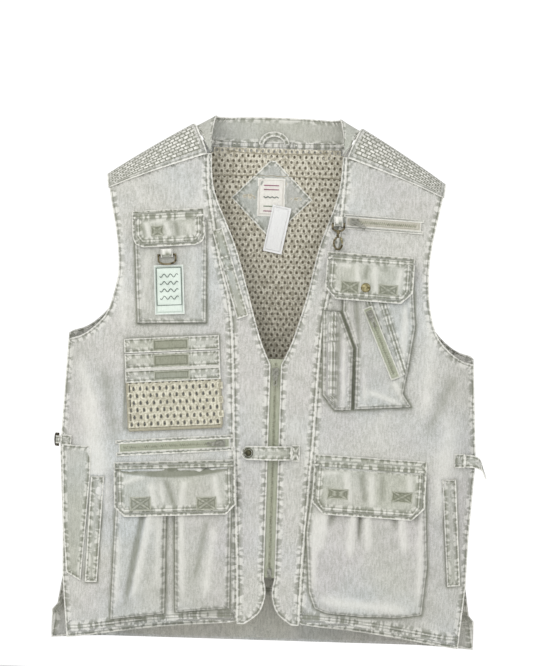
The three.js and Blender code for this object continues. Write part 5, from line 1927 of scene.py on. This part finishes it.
        def surface(p: Array, q: Array) -> Array:
            """Returns points along the strap, twisting as it falls."""
            fall = np.clip(p - 0.2, 0, 1) / 0.8
            wide = np.stack([-0.5 * fall, -0.3 * fall, 1 + 0 * fall], axis=-1)
            wide /= np.linalg.norm(wide, axis=-1)[..., None]
            return line[np.rint(p * 40).astype(int)] + wide * ((q - 0.5) * 18)[..., None]

        made = strip_object("left_strap_cloth", surface, (40, 12), -1.6, 44.0, 18.0, FADED)
        finish_piece(made, "waist_strap", "faded_cotton", ("left_waist_strap",))
        for name, outline in (("left_strap_patch", rectangle(266, 282, -488.5, -468.5)),
                              ("right_ring_leaf", rectangle(-299, -282, -474, -459))):
            Sewn(name, outline, FADED, steady(4.3), (), step=1.6, thick=1.6, reach=5,
                 declared=False).build()
        loop_half = 5.5
        u, v = np.meshgrid(np.linspace(-loop_half, loop_half, 7), np.linspace(0, 2 * np.pi, 37),
                           indexing="ij")
        centre = np.array([-302.5, -2.9, -466.5])
        outer, inner = (centre + np.stack([radius * np.cos(v), radius * np.sin(v), u], axis=-1)
                        for radius in (3.6, 2.4))
        values = unworn_unshaded(loop_half - np.abs(u), v * 4, u, v)
        finish_piece(cloth_object("right_ring_loop", outer, inner, FADED, values), ROOT, "faded_cotton")

    @staticmethod
    def metal() -> None:
        """Dresses the sliders, pulls, rings and the hook, with rounded edges."""
        looks = {SILVER: ("slider", "pull", "front_zip_box"),
                 BRONZE: ("d_ring", "hook_eye", "hook_body", "waist_ring"), BRASS: ("hook_gate",)}
        for finish, words in looks.items():
            for name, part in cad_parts.items():
                if name.endswith(words):
                    part.data.materials.clear()
                    part.data.materials.append(finish.material())
                    bevel = part.modifiers.new("rounded edges", "BEVEL")
                    bevel.width, bevel.segments = (0.0006, 3) if finish is not SILVER else (0.0003, 2)
                    bevel.limit_method, bevel.angle_limit = "ANGLE", math.radians(40)
                    LOG.info("dressed %s", name)


# ------------------------------------------------------------------ studio


@dataclass
class Studio:
    """Camera, soft light and pale surroundings."""

    centre: tuple[float, float] = (-0.0076, -0.3042)
    tall: float = 0.946
    away: float = 3.2
    roll: float = 1.8
    nearest: float = 0.045

    def build(self) -> None:
        """Makes the camera, then the lamps, the world and the floor."""
        camera = bpy.data.objects.new("camera", bpy.data.cameras.new("camera"))
        bpy.context.collection.objects.link(camera)
        camera.location = (self.centre[0], -self.away - self.nearest, self.centre[1])
        camera.rotation_euler = (math.radians(90), math.radians(-self.roll), 0)
        camera.data.lens = camera.data.sensor_width * self.away / self.tall
        camera.data.clip_end = 50
        bpy.context.scene.camera = camera
        bpy.context.scene.view_settings.view_transform = "Standard"
        self.lamps()
        self.world()
        self.floor()

    @staticmethod
    def lamps() -> None:
        """Hangs three soft lamps in front, all turned to the middle of the vest."""
        lamps = (("key", (-1.1, -1.9, 1.1), 1.3, 21), ("fill", (1.6, -2.4, 0.1), 2.2, 6),
                 ("front", (0.0, -3.6, -0.1), 1.8, 22))
        for name, place, size, power in lamps:
            lamp = bpy.data.objects.new(name, bpy.data.lights.new(name, "AREA"))
            bpy.context.collection.objects.link(lamp)
            lamp.location = place
            lamp.data.size, lamp.data.energy = size, power
            aim = np.array([0, 0, -0.35]) - np.array(place)
            lamp.rotation_euler = (math.atan2(math.hypot(aim[0], aim[1]), -aim[2]), 0,
                                   math.atan2(aim[1], aim[0]) - math.pi / 2)

    @staticmethod
    def floor() -> None:
        """Lays a pale floor under the vest."""
        mesh = bpy.data.meshes.new("floor")
        wide, behind, low = 10.0, 3.35, -1.3
        corners = [(-wide, -wide, low), (wide, -wide, low), (wide, behind, low), (-wide, behind, low)]
        mesh.from_pydata(corners, [], [(0, 1, 2, 3)])
        floor = bpy.data.objects.new("floor", mesh)
        bpy.context.collection.objects.link(floor)
        pale = bpy.data.materials.new("pale floor")
        pale.use_nodes = True
        pale.node_tree.nodes["Principled BSDF"].inputs["Base Color"].default_value = (0.9, 0.9, 0.9, 1)
        mesh.materials.append(pale)

    @staticmethod
    def world() -> None:
        """Makes a white world, a little dimmer as light than as a background."""
        world = bpy.data.worlds.new("white")
        world.use_nodes = True
        bpy.context.scene.world = world
        graph = Graph(world.node_tree)
        back = world.node_tree.nodes["Background"]
        graph.feed(back.inputs["Color"], (1.0, 1.0, 1.0, 1.0))
        seen = graph.node("ShaderNodeLightPath").outputs["Is Camera Ray"]
        graph.feed(back.inputs["Strength"], graph.span(seen, 0.0, 1.0, 0.72, 1.1))


def main() -> None:
    """Builds the studio and every piece of the vest."""
    logging.basicConfig(level=logging.INFO, format="%(name)s: %(message)s")
    for part in (Studio(), Shell(), Neck(), Pockets(), Fastenings()):
        LOG.info("building %s", type(part).__name__)
        part.build()


if __name__ == "__main__":
    main()
